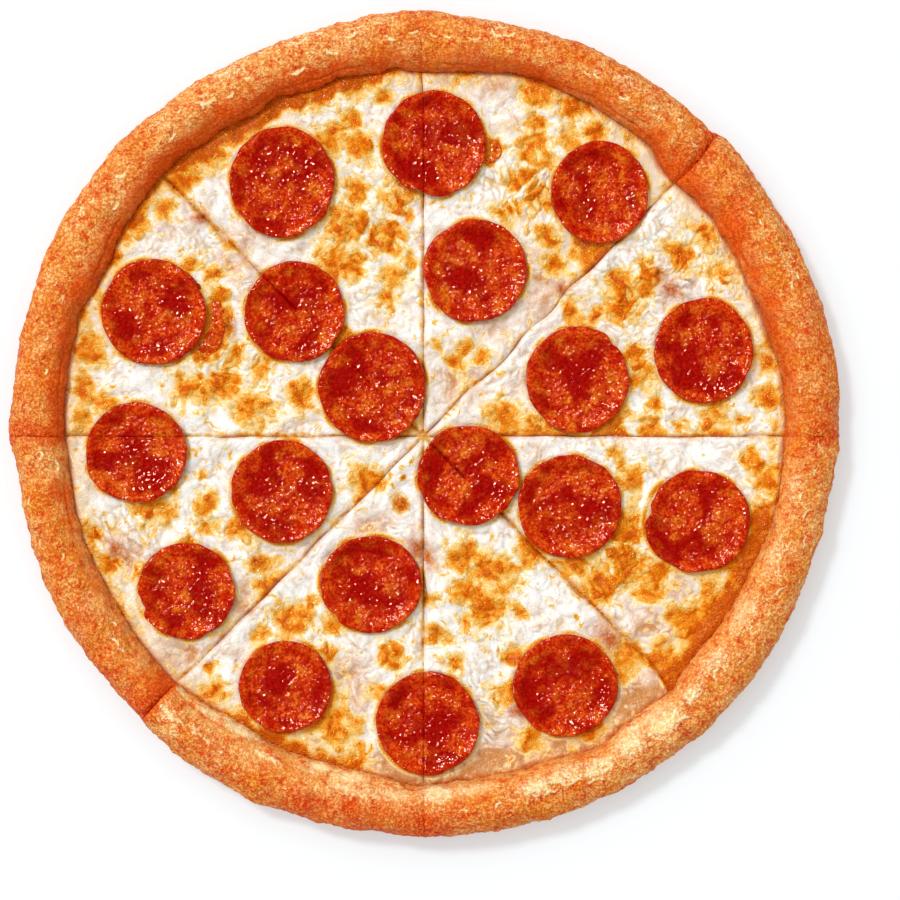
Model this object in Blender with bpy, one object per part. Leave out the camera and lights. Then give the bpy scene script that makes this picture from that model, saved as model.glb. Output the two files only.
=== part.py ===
"""A round pepperoni pizza cut into eight slices that still lie together, in metres, +Z up.

The origin is on the surface that the pizza lies on, under the middle of its outline. Each slice is a
wedge of baked dough with its rolled rim, a thin wedge of tomato sauce and a wedge of melted cheese.
Slices of pepperoni lie on the cheese, and where the cutter went through one, its halves are apart.
"""

import math

import bmesh
import bpy
from mathutils import Vector, noise

MM = 0.001

# The whole pizza
PIZZA_RADIUS = 150 * MM
SLICE_COUNT = 8
CUT_CENTRE = Vector((-0.2 * MM, -4.5 * MM, 0))
CUT_GAP = 0.5 * MM
FIT_GAP = 0.3 * MM

# The dough: a flat base with a round rim, whose section is an ellipse
BASE_TOP = 6.4 * MM
RIM_MIDDLE_RADIUS = 140.4 * MM
RIM_HALF_WIDTH = 9.4 * MM
RIM_MIDDLE_HEIGHT = 10.6 * MM
RIM_HALF_HEIGHT = 9.6 * MM
RIM_FOOT_RADIUS = 143.0 * MM
RIM_FROM = math.radians(-52)
RIM_TO = math.radians(206)
RIM_STEPS = 14
RIM_SWELL = 1.3 * MM
RIM_LUMP = 0.7 * MM
PINCH_DROP = 4.6 * MM
PINCH_FLARE = 1.4 * MM
PINCH_REACH = 2.4 * MM

# The sauce and the cheese
SAUCE_BOTTOM = BASE_TOP + FIT_GAP
SAUCE_TOP = SAUCE_BOTTOM + 1.1 * MM
CHEESE_BOTTOM = SAUCE_TOP + FIT_GAP
CHEESE_TOP = 11.2 * MM
CHEESE_EDGE_TOP = CHEESE_BOTTOM + 1.2 * MM
CHEESE_EDGE_SLOPE = 5.0 * MM
CHEESE_EDGE_GAP = 0.8 * MM
CHEESE_BUMP = 1.5 * MM
CHEESE_LIFT = 0.5 * MM
CHEESE_CUT_DROP = 0.8 * MM
CHEESE_RINGS = 17

# Where the columns of a slice stand, as shares of its angle from one cut to the next
DOUGH_COLUMNS = (0, 0.012, 0.035, 0.08, 0.16, 0.25, 0.34, 0.43, 0.5, 0.57, 0.66, 0.75, 0.84, 0.92, 0.965, 0.988, 1)
CHEESE_COLUMNS = (0, 0.014, 0.06, 0.13, 0.2, 0.27, 0.34, 0.41, 0.48, 0.55, 0.62, 0.69, 0.76, 0.83, 0.9, 0.986, 1)
TIP_RADIUS = 7.0 * MM

# Pepperoni: name, middle (x, y), width along X and depth along Y, in millimetres
PEPPERONI = (
    ("pepperoni_01", -51.7, 88.0, 38.6, 41.0),
    ("pepperoni_02", 3.5, 102.1, 38.2, 39.2),
    ("pepperoni_03", 63.7, 84.4, 35.8, 37.6),
    ("pepperoni_04", 18.6, 55.8, 38.0, 37.8),
    ("pepperoni_05", -98.4, 40.6, 38.4, 38.6),
    ("pepperoni_06", -47.3, 40.9, 37.0, 37.2),
    ("pepperoni_07", -18.8, 13.6, 39.6, 40.2),
    ("pepperoni_08", 55.7, 16.5, 37.6, 39.2),
    ("pepperoni_09", 101.6, 26.7, 36.0, 38.8),
    ("pepperoni_10", -104.7, -10.4, 37.6, 36.8),
    ("pepperoni_11", -51.7, -24.5, 37.2, 38.0),
    ("pepperoni_12", 15.9, -18.5, 37.0, 37.2),
    ("pepperoni_13", 52.8, -29.8, 38.4, 38.2),
    ("pepperoni_14", 99.1, -35.4, 39.0, 37.2),
    ("pepperoni_15", -86.5, -60.4, 36.0, 35.0),
    ("pepperoni_16", -19.3, -58.1, 37.2, 35.6),
    ("pepperoni_17", -50.5, -95.4, 34.4, 34.0),
    ("pepperoni_18", 1.2, -108.7, 37.4, 38.0),
    ("pepperoni_19", 51.2, -94.9, 38.6, 37.6),
)
# Those that the cutter parted, with the bearing of the cut and the names of the half to its left and right
PARTED = {
    "pepperoni_02": (90, "left", "right"),
    "pepperoni_07": (135, "lower", "upper"),
    "pepperoni_10": (180, "lower", "upper"),
    "pepperoni_18": (270, "right", "left"),
}
# Those that it went halfway into, with the bearing of the cut and of the side that it came in from
SCORED = {"pepperoni_06": (135, 135), "pepperoni_12": (315, 135)}
# A slice and a scrap that mostly lie under another slice, in the same terms
TUCKED_UNDER = {
    "pepperoni_02": ("pepperoni_02_under", 22.0, 99.6, 13.0, 9.5),
    "pepperoni_05": ("pepperoni_05_under", -90.4, 37.4, 36.4, 36.6),
}
PEPPERONI_THICKNESS = 1.7 * MM
PEPPERONI_EDGE_THICKNESS = 1.2 * MM
PEPPERONI_CUP = 0.9 * MM
PEPPERONI_SEGMENTS = 22
PEPPERONI_RINGS = (0.5, 0.94)
PEPPERONI_WOBBLE = 0.02
SEAT_SLOPE = 7.0 * MM
SCORE_WIDTH = 0.5 * MM

# Material: base colour and roughness
MATERIALS = {
    "crust": ((0.62, 0.27, 0.07), 0.75),
    "sauce": ((0.48, 0.08, 0.01), 0.4),
    "cheese": ((0.86, 0.70, 0.42), 0.35),
    "pepperoni": ((0.50, 0.03, 0.005), 0.35),
}


def material_of(name):
    """The named material, made the first time that it is asked for."""
    found = bpy.data.materials.get(name)
    if found:
        return found
    colour, roughness = MATERIALS[name]
    made = bpy.data.materials.new(name)
    made.use_nodes = True
    shader = made.node_tree.nodes["Principled BSDF"]
    shader.inputs["Base Color"].default_value = (*colour, 1)
    shader.inputs["Roughness"].default_value = roughness
    shader.inputs["Metallic"].default_value = 0
    return made


def object_from(name, mesh_data, material):
    """A named object in the scene from a bmesh, with its faces pointing out."""
    bmesh.ops.recalc_face_normals(mesh_data, faces=mesh_data.faces)
    mesh = bpy.data.meshes.new(name)
    mesh_data.to_mesh(mesh)
    mesh_data.free()
    mesh.materials.append(material_of(material))
    mesh.shade_smooth()
    mesh.set_sharp_from_angle(angle=math.radians(50))
    made = bpy.data.objects.new(name, mesh)
    bpy.context.scene.collection.objects.link(made)
    return made


def smooth_step(value):
    """0 below 0, 1 above 1, and an even rise between."""
    held = min(max(value, 0), 1)
    return held * held * (3 - 2 * held)


def swell(bearing, waves, seed):
    """A smooth value from about -1 to 1 that changes round the pizza, with about that many waves."""
    turn = Vector((math.cos(bearing), math.sin(bearing), 0)) * waves / math.tau
    return 1.6 * noise.noise(turn + Vector((seed, -seed, seed)))


def direction(bearing):
    """The level unit vector at a bearing."""
    return Vector((math.cos(bearing), math.sin(bearing), 0))


def edge_distance(bearing):
    """How far the pizza's round outline is from the point where the cuts cross."""
    along = CUT_CENTRE.dot(direction(bearing))
    return -along + math.sqrt(along**2 - CUT_CENTRE.length_squared + PIZZA_RADIUS**2)


def slice_bearing(index, share):
    """The bearing at a share of a slice's angle, seen from where the cuts cross."""
    return (index + share) * math.tau / SLICE_COUNT


def slice_shift(index):
    """A slice's move away from the others, which leaves the gap of the cut on both of its sides."""
    half_angle = math.pi / SLICE_COUNT
    return direction(slice_bearing(index, 0.5)) * (CUT_GAP / 2 / math.sin(half_angle))


def slice_point(index, share, radius, height):
    """A point of a slice, by its share of the angle and its radius on a pizza cut through its middle."""
    bearing = slice_bearing(index, share)
    level = CUT_CENTRE + direction(bearing) * edge_distance(bearing) * radius / PIZZA_RADIUS
    return level + slice_shift(index) + Vector((0, 0, height))


def from_cut(share, radius):
    """How far a point is from the nearer cut."""
    nearer = min(share, 1 - share) * math.tau / SLICE_COUNT
    return radius * math.sin(nearer)


def rim_inner_width(bearing):
    """The half width of the rim's inner side, which swells over the cheese here and there."""
    return RIM_HALF_WIDTH + RIM_SWELL * swell(bearing, 14, 3.1)


def rim_point(index, share, turn):
    """A point on the rim's round section. turn is 0 at its outer side and a quarter turn at its top."""
    bearing = slice_bearing(index, share)
    pinch = math.exp(-from_cut(share, PIZZA_RADIUS) / PINCH_REACH)
    outward, upward = math.cos(turn), math.sin(turn)
    half_width = rim_inner_width(bearing)
    if outward > 0:
        half_width = RIM_HALF_WIDTH + 0.5 * RIM_SWELL * swell(bearing, 17, 7.7)
        half_width += PINCH_FLARE * pinch * (1 - max(upward, 0))
    half_height = RIM_HALF_HEIGHT
    if upward > 0:
        half_height += RIM_SWELL * swell(bearing, 11, 12.3) - PINCH_DROP * pinch
    radius = RIM_MIDDLE_RADIUS + half_width * outward
    height = RIM_MIDDLE_HEIGHT + half_height * upward
    place = slice_point(index, share, radius, height)
    lump = RIM_LUMP * noise.noise(place / (11 * MM)) * smooth_step(upward + 0.6)
    return slice_point(index, share, radius + lump * outward, height + lump * upward)


def rim_inner_wall(bearing):
    """The radius of the rim's inner wall where it stands furthest over the cheese."""
    return RIM_MIDDLE_RADIUS - rim_inner_width(bearing) - RIM_LUMP


def dough_slice(index):
    """The baked dough of one slice: its flat base and its rim, swept from one cut to the other."""
    made = bmesh.new()
    tip = [made.verts.new(slice_point(index, 0.5, 0, height)) for height in (0, BASE_TOP)]
    rims = []
    for share in DOUGH_COLUMNS:
        foot = slice_point(index, share, RIM_FOOT_RADIUS, 0)
        turns = [RIM_FROM + (RIM_TO - RIM_FROM) * step / RIM_STEPS for step in range(RIM_STEPS + 1)]
        toe_radius = RIM_MIDDLE_RADIUS + rim_inner_width(slice_bearing(index, share)) * math.cos(RIM_TO)
        toe = slice_point(index, share, toe_radius, BASE_TOP)
        points = [foot, *(rim_point(index, share, turn) for turn in turns[:-1]), toe]
        rims.append([made.verts.new(point) for point in points])
    for left, right in zip(rims, rims[1:]):
        made.faces.new((tip[0], left[0], right[0]))
        made.faces.new((tip[1], right[-1], left[-1]))
        for lower, upper in zip(range(len(left)), range(1, len(left))):
            made.faces.new((left[lower], left[upper], right[upper], right[lower]))
    for rim in (rims[0], rims[-1]):
        made.faces.new((tip[0], *rim, tip[1]))
    return object_from(f"dough_{index + 1}", made, "crust")


def sauce_slice(index):
    """The thin layer of sauce that shows at the cuts and beside the rim."""
    made = bmesh.new()
    layers = []
    for height in (SAUCE_BOTTOM, SAUCE_TOP):
        ring = [made.verts.new(slice_point(index, 0.5, 0, height))]
        for share in CHEESE_COLUMNS[::2]:
            radius = rim_inner_wall(slice_bearing(index, share)) - FIT_GAP
            ring.append(made.verts.new(slice_point(index, share, radius, height)))
        layers.append(ring)
        made.faces.new(ring)
    for place in range(len(ring)):
        made.faces.new((layers[0][place - 1], layers[0][place], layers[1][place], layers[1][place - 1]))
    return object_from(f"sauce_{index + 1}", made, "sauce")


def outline_radius(disc, bearing):
    """The distance from the middle of a slice of pepperoni to its slightly uneven outline."""
    name, _, _, width, depth = disc
    seed = 5.3 * int(name.split("_")[1])
    half_width, half_depth = width * MM / 2, depth * MM / 2
    oval = half_width * half_depth / math.hypot(half_depth * math.cos(bearing), half_width * math.sin(bearing))
    return oval * (1 + PEPPERONI_WOBBLE * (swell(bearing, 9, seed) - 0.5))


def middle_of(disc, height=0.0):
    """The middle of a slice of pepperoni, at a height."""
    return Vector((disc[1] * MM, disc[2] * MM, height))


def seat_share(point):
    """1 under a slice of pepperoni, 0 well clear of all of them."""
    nearest = math.inf
    for disc in (*PEPPERONI, *TUCKED_UNDER.values()):
        away = point - middle_of(disc)
        away.z = 0
        nearest = min(nearest, away.length - outline_radius(disc, math.atan2(away.y, away.x)))
    return 1 - smooth_step((nearest - 1 * MM) / SEAT_SLOPE)


def cheese_height(index, share, radius, edge_radius):
    """The top of the melted cheese, level under the toppings and lumpy between them."""
    place = slice_point(index, share, radius, 0)
    lumps = noise.noise(place / (16 * MM) + Vector((4.2, 1.7, 0))) + 0.5 * noise.noise(place / (8 * MM))
    lift = CHEESE_LIFT * swell(slice_bearing(index, 0.5), 40, 2.2)
    free = 1 - seat_share(place)
    height = CHEESE_TOP + free * (CHEESE_BUMP * lumps + lift)
    height -= CHEESE_CUT_DROP * math.exp(-from_cut(share, radius) / (1.2 * MM)) * free
    inside = smooth_step((edge_radius - radius) / CHEESE_EDGE_SLOPE)
    return CHEESE_EDGE_TOP + (height - CHEESE_EDGE_TOP) * inside


def cheese_slice(index):
    """The melted cheese of one slice, from its tip to an uneven edge just inside the rim."""
    made = bmesh.new()
    bottom_tip = made.verts.new(slice_point(index, 0.5, 0, CHEESE_BOTTOM))
    top_tip = made.verts.new(slice_point(index, 0.5, 0, CHEESE_TOP - CHEESE_CUT_DROP))
    columns = []
    for share in CHEESE_COLUMNS:
        bearing = slice_bearing(index, share)
        edge_radius = rim_inner_wall(bearing) - CHEESE_EDGE_GAP * (1 + 0.6 * swell(bearing, 40, 8.8))
        column = []
        for ring in range(CHEESE_RINGS):
            radius = TIP_RADIUS + (edge_radius - TIP_RADIUS) * ring / (CHEESE_RINGS - 1)
            height = cheese_height(index, share, radius, edge_radius)
            column.append(made.verts.new(slice_point(index, share, radius, height)))
        column.append(made.verts.new(slice_point(index, share, edge_radius, CHEESE_BOTTOM)))
        columns.append(column)
    for left, right in zip(columns, columns[1:]):
        made.faces.new((top_tip, left[0], right[0]))
        made.faces.new((bottom_tip, right[-1], left[-1]))
        for inner, outer in zip(range(CHEESE_RINGS), range(1, CHEESE_RINGS + 1)):
            made.faces.new((left[inner], left[outer], right[outer], right[inner]))
    for column in (columns[0], columns[-1]):
        made.faces.new((bottom_tip, top_tip, *column))
    bmesh.ops.triangulate(made, faces=made.faces)
    return object_from(f"cheese_{index + 1}", made, "cheese")


def disc_mesh(disc, bottom=CHEESE_TOP + FIT_GAP):
    """A thin slice of pepperoni, a little cupped, so that only its middle lies on the cheese."""
    made = bmesh.new()
    half_edge = PEPPERONI_EDGE_THICKNESS / 2
    edge_height = PEPPERONI_CUP + PEPPERONI_THICKNESS / 2

    def ring(share, height):
        points = []
        for step in range(PEPPERONI_SEGMENTS):
            bearing = math.tau * step / PEPPERONI_SEGMENTS
            reach = outline_radius(disc, bearing) * share
            points.append(made.verts.new(middle_of(disc, bottom + height) + direction(bearing) * reach))
        return points

    inner, outer = PEPPERONI_RINGS
    rings = [
        ring(inner, 0.0),
        ring(outer, edge_height - half_edge),
        ring(1.0, edge_height),
        ring(outer, edge_height + half_edge),
        ring(inner, PEPPERONI_THICKNESS + PEPPERONI_CUP * inner**2),
    ]
    top = made.verts.new(middle_of(disc, bottom + PEPPERONI_THICKNESS))
    for step in range(PEPPERONI_SEGMENTS):
        for lower, upper in zip(rings, rings[1:]):
            made.faces.new((lower[step - 1], lower[step], upper[step], upper[step - 1]))
        made.faces.new((rings[-1][step - 1], rings[-1][step], top))
    made.faces.new(rings[0])
    bmesh.ops.recalc_face_normals(made, faces=made.faces)
    return made


def keep_side(made, point, outward):
    """Cuts a closed shape by a plane, drops what lies on the outward side and closes the cut."""
    everything = [*made.verts, *made.edges, *made.faces]
    bmesh.ops.bisect_plane(made, geom=everything, plane_co=point, plane_no=outward, dist=1e-7, clear_outer=True)
    open_edges = [edge for edge in made.edges if edge.is_boundary]
    bmesh.ops.edgeloop_fill(made, edges=open_edges)


def parted_disc(disc, bearing_degrees, left_name, right_name):
    """The two halves of a slice of pepperoni that the cutter went through."""
    along = direction(math.radians(bearing_degrees))
    left = Vector((-along.y, along.x, 0))
    for name, side in ((left_name, left), (right_name, -left)):
        made = disc_mesh(disc)
        keep_side(made, CUT_CENTRE + side * CUT_GAP / 2, -side)
        object_from(f"{disc[0]}_{name}", made, "pepperoni")


def scored_disc(disc, cut_degrees, side_degrees):
    """A slice of pepperoni that the cutter went into from one side, as far as its middle."""
    made = object_from(disc[0], disc_mesh(disc), "pepperoni")
    along = direction(math.radians(cut_degrees))
    on_cut = CUT_CENTRE + along * (middle_of(disc) - CUT_CENTRE).dot(along)
    inward = direction(math.radians(side_degrees))
    length = disc[3] * MM
    bpy.ops.mesh.primitive_cube_add(size=1)
    blade = bpy.context.object
    blade.name = f"blade_for_{disc[0]}"
    blade.scale = (length, SCORE_WIDTH, 4 * PEPPERONI_THICKNESS)
    blade.rotation_euler.z = math.radians(side_degrees)
    blade.location = on_cut + inward * length / 2 + Vector((0, 0, CHEESE_TOP + PEPPERONI_THICKNESS))
    blade.hide_render = True
    blade.display_type = "WIRE"
    cut = made.modifiers.new("score", "BOOLEAN")
    cut.operation = "DIFFERENCE"
    cut.object = blade
    return made


def tucked_disc(cover, disc):
    """The part that shows of a slice of pepperoni tucked under another one, its cover."""
    made = object_from(disc[0], disc_mesh(disc), "pepperoni")
    cutter = bmesh.new()
    steps = 2 * PEPPERONI_SEGMENTS
    rings = []
    for height in (0, 3 * CHEESE_TOP):
        ring = []
        for step in range(steps):
            bearing = math.tau * step / steps
            reach = outline_radius(cover, bearing) + FIT_GAP
            ring.append(cutter.verts.new(middle_of(cover, height) + direction(bearing) * reach))
        rings.append(ring)
        cutter.faces.new(ring)
    for step in range(steps):
        cutter.faces.new((rings[0][step - 1], rings[0][step], rings[1][step], rings[1][step - 1]))
    cover_object = object_from(f"cover_of_{disc[0]}", cutter, "pepperoni")
    cover_object.hide_render = True
    cover_object.display_type = "WIRE"
    cut = made.modifiers.new("covered", "BOOLEAN")
    cut.operation = "DIFFERENCE"
    cut.object = cover_object
    return made


def pepperoni():
    """All the slices of pepperoni, whole, parted, scored or tucked under another."""
    for disc in PEPPERONI:
        name = disc[0]
        if name in PARTED:
            parted_disc(disc, *PARTED[name])
        elif name in SCORED:
            scored_disc(disc, *SCORED[name])
        else:
            object_from(name, disc_mesh(disc), "pepperoni")
        if name in TUCKED_UNDER:
            tucked_disc(disc, TUCKED_UNDER[name])


def main():
    for old in list(bpy.data.objects):
        bpy.data.objects.remove(old)
    for index in range(SLICE_COUNT):
        dough_slice(index)
        sauce_slice(index)
        cheese_slice(index)
    pepperoni()


main()
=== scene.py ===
"""A whole pepperoni pizza, baked, cut into eight slices and left lying together."""

import math
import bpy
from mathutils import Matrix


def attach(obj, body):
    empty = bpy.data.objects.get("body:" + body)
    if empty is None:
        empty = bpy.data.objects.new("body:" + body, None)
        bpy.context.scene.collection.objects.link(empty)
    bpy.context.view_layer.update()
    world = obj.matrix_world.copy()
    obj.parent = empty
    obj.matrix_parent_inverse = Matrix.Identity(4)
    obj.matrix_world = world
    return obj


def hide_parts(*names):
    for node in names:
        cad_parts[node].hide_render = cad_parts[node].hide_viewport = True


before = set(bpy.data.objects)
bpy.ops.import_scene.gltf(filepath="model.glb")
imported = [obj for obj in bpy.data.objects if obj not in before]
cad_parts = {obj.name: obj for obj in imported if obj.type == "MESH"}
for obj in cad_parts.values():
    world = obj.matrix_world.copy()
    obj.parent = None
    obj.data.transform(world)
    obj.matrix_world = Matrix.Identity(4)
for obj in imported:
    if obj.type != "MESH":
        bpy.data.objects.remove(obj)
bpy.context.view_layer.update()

from types import SimpleNamespace

import bpy
import numpy as np
from mathutils import Vector, noise

# The dough: eight wedges of risen wheat dough, each a flat base with its piece of the rolled rim. The rim is
# rolled by hand and dusted with semolina before it is baked, so it is uneven, grainy and browned in patches.
# Lengths in this file are in millimetres, and a mesh gets its metres when its points are written back.
MM = 0.001
PIZZA_RADIUS = 150.0
SLICE_COUNT = 8
EIGHTH = math.tau / SLICE_COUNT
CUT_X, CUT_Y = -0.2, -4.5
CUT_GAP = 0.03
# Of each cut: how far it sways, how far it is off its line on the rim, with what the outline adds,
# and how deep the gap in the crust is, which also sets how much painted shade the crust gets beside it
CUT_SWAY = (0.5, 1.4, 0.25, 0.4, 0.5, 0.7, 0.25, 0.5)
CUT_AT_RIM = ((0, 0), (0.3, 2.6), (0.7, 2.2), (0, 0), (0, 0), (0, 0), (0.2, 0), (-1.2, -0.2))
CUT_DEPTH = (0.35, 0.90, 0.32, 0.28, 0.50, 0.90, 0.28, 0.40)
SWAY_SPREAD, SWAY_WAVE = 7.0, 15
BASE_TOP = 6.4
RIM_RADIUS, RIM_HEIGHT = 140.4, 10.6
RIM_HALF_WIDTH, RIM_HALF_HEIGHT = 9.4, 9.6
RIM_FOOT = 143.0
RIM_FROM, RIM_TO = math.radians(-52), math.radians(206)
RIM_POINTS = 156
RIM_STEPS = 220
RIM_SWELL, RIM_LUMP, RIM_CEILING = 1.3, 0.7, 10.7
PINCH_DROP, PINCH_REACH = 4.2, 2.0
LIGHT_BEARING = math.radians(135)
# Round the rim: bearing in degrees, how far its outer and its inner edge are from the middle, and the tone of
# its inner side, from 1 for red to -1 for pale. The tone is partly baking and partly painted light: painted
# shade where the inner side turns from the lamp and at the cuts, and paler where it faces the lamp
RIM_AT = (
    (0, 150.9, 131.8, 0.3), (6, 151.3, 131.5, 0.45), (10, 151.2, 130.9, 0.5), (15, 151.0, 129.2, 0.55),
    (26, 150.5, 128.5, 0.5), (30, 150.0, 128.3, 0.8), (35, 150.0, 129.0, 0.8), (41, 150.3, 127.6, 0.8),
    (43.6, 150.9, 127.0, 1.0), (45, 149.7, 126.3, 1.0), (48, 149.3, 127.3, 0.8), (50, 149.3, 130.0, 0.6),
    (58, 149.6, 131.0, 0.4), (67, 149.5, 131.3, 0.45), (72, 149.5, 132.3, 0.7), (77, 149.1, 131.6, 0.6),
    (81, 148.8, 129.8, 0.7), (86, 149.2, 128.5, 0.45), (89.8, 150.4, 128.3, 0.45),
    (92, 149.8, 128.2, 0.5), (95, 150.0, 130.3, 0.45), (99, 149.6, 128.9, 0.6), (104, 149.0, 130.2, 0.65),
    (108, 148.7, 127.9, 0.8), (114, 148.7, 130.8, 0.85), (118, 148.9, 128.4, 0.8),
    (124, 149.2, 130.0, 0.95), (131, 149.9, 131.3, 0.95), (135.8, 150.6, 131.6, 1.0),
    (137.2, 151.8, 131.4, 0.8), (141, 150.9, 131.3, 0.75), (146, 150.5, 130.8, 0.6),
    (152, 151.5, 129.0, 0.95), (156, 150.9, 129.2, 1.0), (161, 150.3, 131.5, 0.85),
    (170, 149.9, 131.3, 0.8), (178, 150.2, 131.3, 0.75), (181.6, 151.4, 131.0, 0.8),
    (184, 149.9, 131.0, -0.1), (187, 148.9, 130.0, 0.0), (192, 148.7, 131.0, 0.3),
    (198, 149.1, 131.2, 0.2), (204, 149.6, 130.2, 0.2), (211, 149.3, 129.8, 0.1),
    (217, 148.5, 130.3, 0.05), (222, 148.0, 130.3, 0.1), (225.6, 148.4, 130.6, 1.0),
    (226.5, 149.0, 130.3, -0.1), (231, 150.1, 129.2, -0.5), (236, 150.0, 128.0, -1.0),
    (242, 150.0, 127.9, -0.7), (246, 150.7, 128.8, -0.2), (250, 149.7, 128.5, -0.7),
    (256, 149.4, 128.0, -1.0), (262, 149.3, 128.5, -0.9), (267, 149.5, 131.0, -0.8),
    (270, 150.3, 131.6, -0.7), (275, 149.6, 130.4, -0.5), (282, 150.0, 130.0, -0.35),
    (286, 150.1, 131.0, -0.5), (290, 150.3, 129.8, -0.4), (295, 150.5, 132.4, -0.3),
    (299, 150.6, 133.5, -0.2), (303, 150.4, 131.4, -0.5), (309, 150.8, 131.7, -0.85),
    (313, 151.6, 132.0, -0.9), (316, 150.8, 129.8, -0.5), (326, 150.9, 129.8, -0.3),
    (335, 149.8, 130.1, -0.2), (343, 149.3, 131.3, -0.25), (350, 149.6, 131.6, -0.15),
    (355, 150.5, 131.2, 0.0), (357.8, 151.1, 131.0, 0.35),
)
OUTLINE_LIMIT = 151.4
# Bearing in degrees, and the outer side's tone there, from 1 for red to -1 for pale: partly baking, partly
# painted shade where the outer side turns from the lamp and at the cuts, and paler where it faces the lamp
OUTER_TONE = (
    (0, 0.5), (8, 0.3), (15, 0.4), (22, 0.0), (30, 0.1), (36, 0.3), (43, 0.3), (46, 0.1), (52, -0.2),
    (58, 0.0), (64, 0.1), (70, 0.3), (75, 0.2), (80, -0.3), (86, -0.1), (90, 0.4), (94, -0.1),
    (100, -0.5), (113, -0.6), (120, -0.7), (126, -0.4), (132, -0.3), (137, 0.1), (148, -0.3), (154, 0.0),
    (160, 0.1), (166, 0.2), (172, 0.4), (178, 0.1), (181, 0.9), (184, 0.0), (190, 0.0), (204, 0.1),
    (210, 0.2), (216, 0.5), (222, 0.5), (225.5, 1.0), (227, 0.0), (238, 0.2), (244, 0.0), (248, 0.6),
    (254, 0.6), (260, 0.7), (266, 0.9), (270, 1.0), (274, 0.9), (278, 0.4), (284, 0.0), (290, 0.1),
    (294, 0.3), (300, -0.2), (306, -0.2), (312, -0.4), (316, -0.1), (322, -0.1), (336, -0.1), (342, -0.2),
    (350, -0.1), (356, -0.1), (358.5, 0.9),
)
# Pale stretches, partly the dough's own and partly painted light, as most lie where the rim faces the lamp:
# bearing in degrees, distance from the middle, spread along and across the rim, and strength
CREAM = (
    (227.5, 130.5, 4, 1.0, 0.6), (233, 129.6, 5, 1.2, 0.9), (239, 128.8, 7, 1.4, 1.1),
    (251.5, 131.5, 4, 1.2, 0.6), (253, 129.3, 4, 1.5, 1.0), (257.5, 130.2, 6, 1.7, 1.0),
    (259, 134.3, 9, 2.2, 0.7), (265, 134, 6, 2.6, 0.6), (272, 133.5, 6, 2.8, 1.1),
    (278, 133, 8, 2.0, 0.6), (287, 137.5, 6, 3.2, 1.0), (292, 137, 7, 3.2, 0.9), (297, 139, 6, 3.6, 1.0),
    (303, 138, 6, 4.0, 1.1), (309, 138, 7, 4.6, 1.2), (305, 133.4, 9, 1.6, 0.8), (315, 137, 5, 3.0, 0.7),
    (321, 135.5, 8, 3.5, 0.55), (330, 134.5, 10, 3.5, 0.5), (340, 135, 9, 3.0, 0.45),
    (350, 136, 7, 3.0, 0.4), (228.5, 139.7, 4.5, 2.6, 0.7), (233, 138, 3, 1.6, 0.5),
    (119.5, 146.5, 5, 2.2, 0.6), (108, 146.5, 6, 1.6, 0.5), (101, 144, 4, 2.0, 0.45),
    (79, 145, 5, 2.5, 0.45), (124, 141, 4, 2.5, 0.4), (141, 142, 3, 1.6, 0.4), (184.5, 139, 3, 1.6, 0.5),
    (245, 133, 5, 1.3, 0.6), (23, 144, 5, 2.5, 0.3), (60, 144, 7, 2.5, 0.3), (96, 147, 4, 1.6, 0.35),
    (131, 145, 5, 2.0, 0.3), (148, 146, 4, 1.6, 0.3),
)
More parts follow.
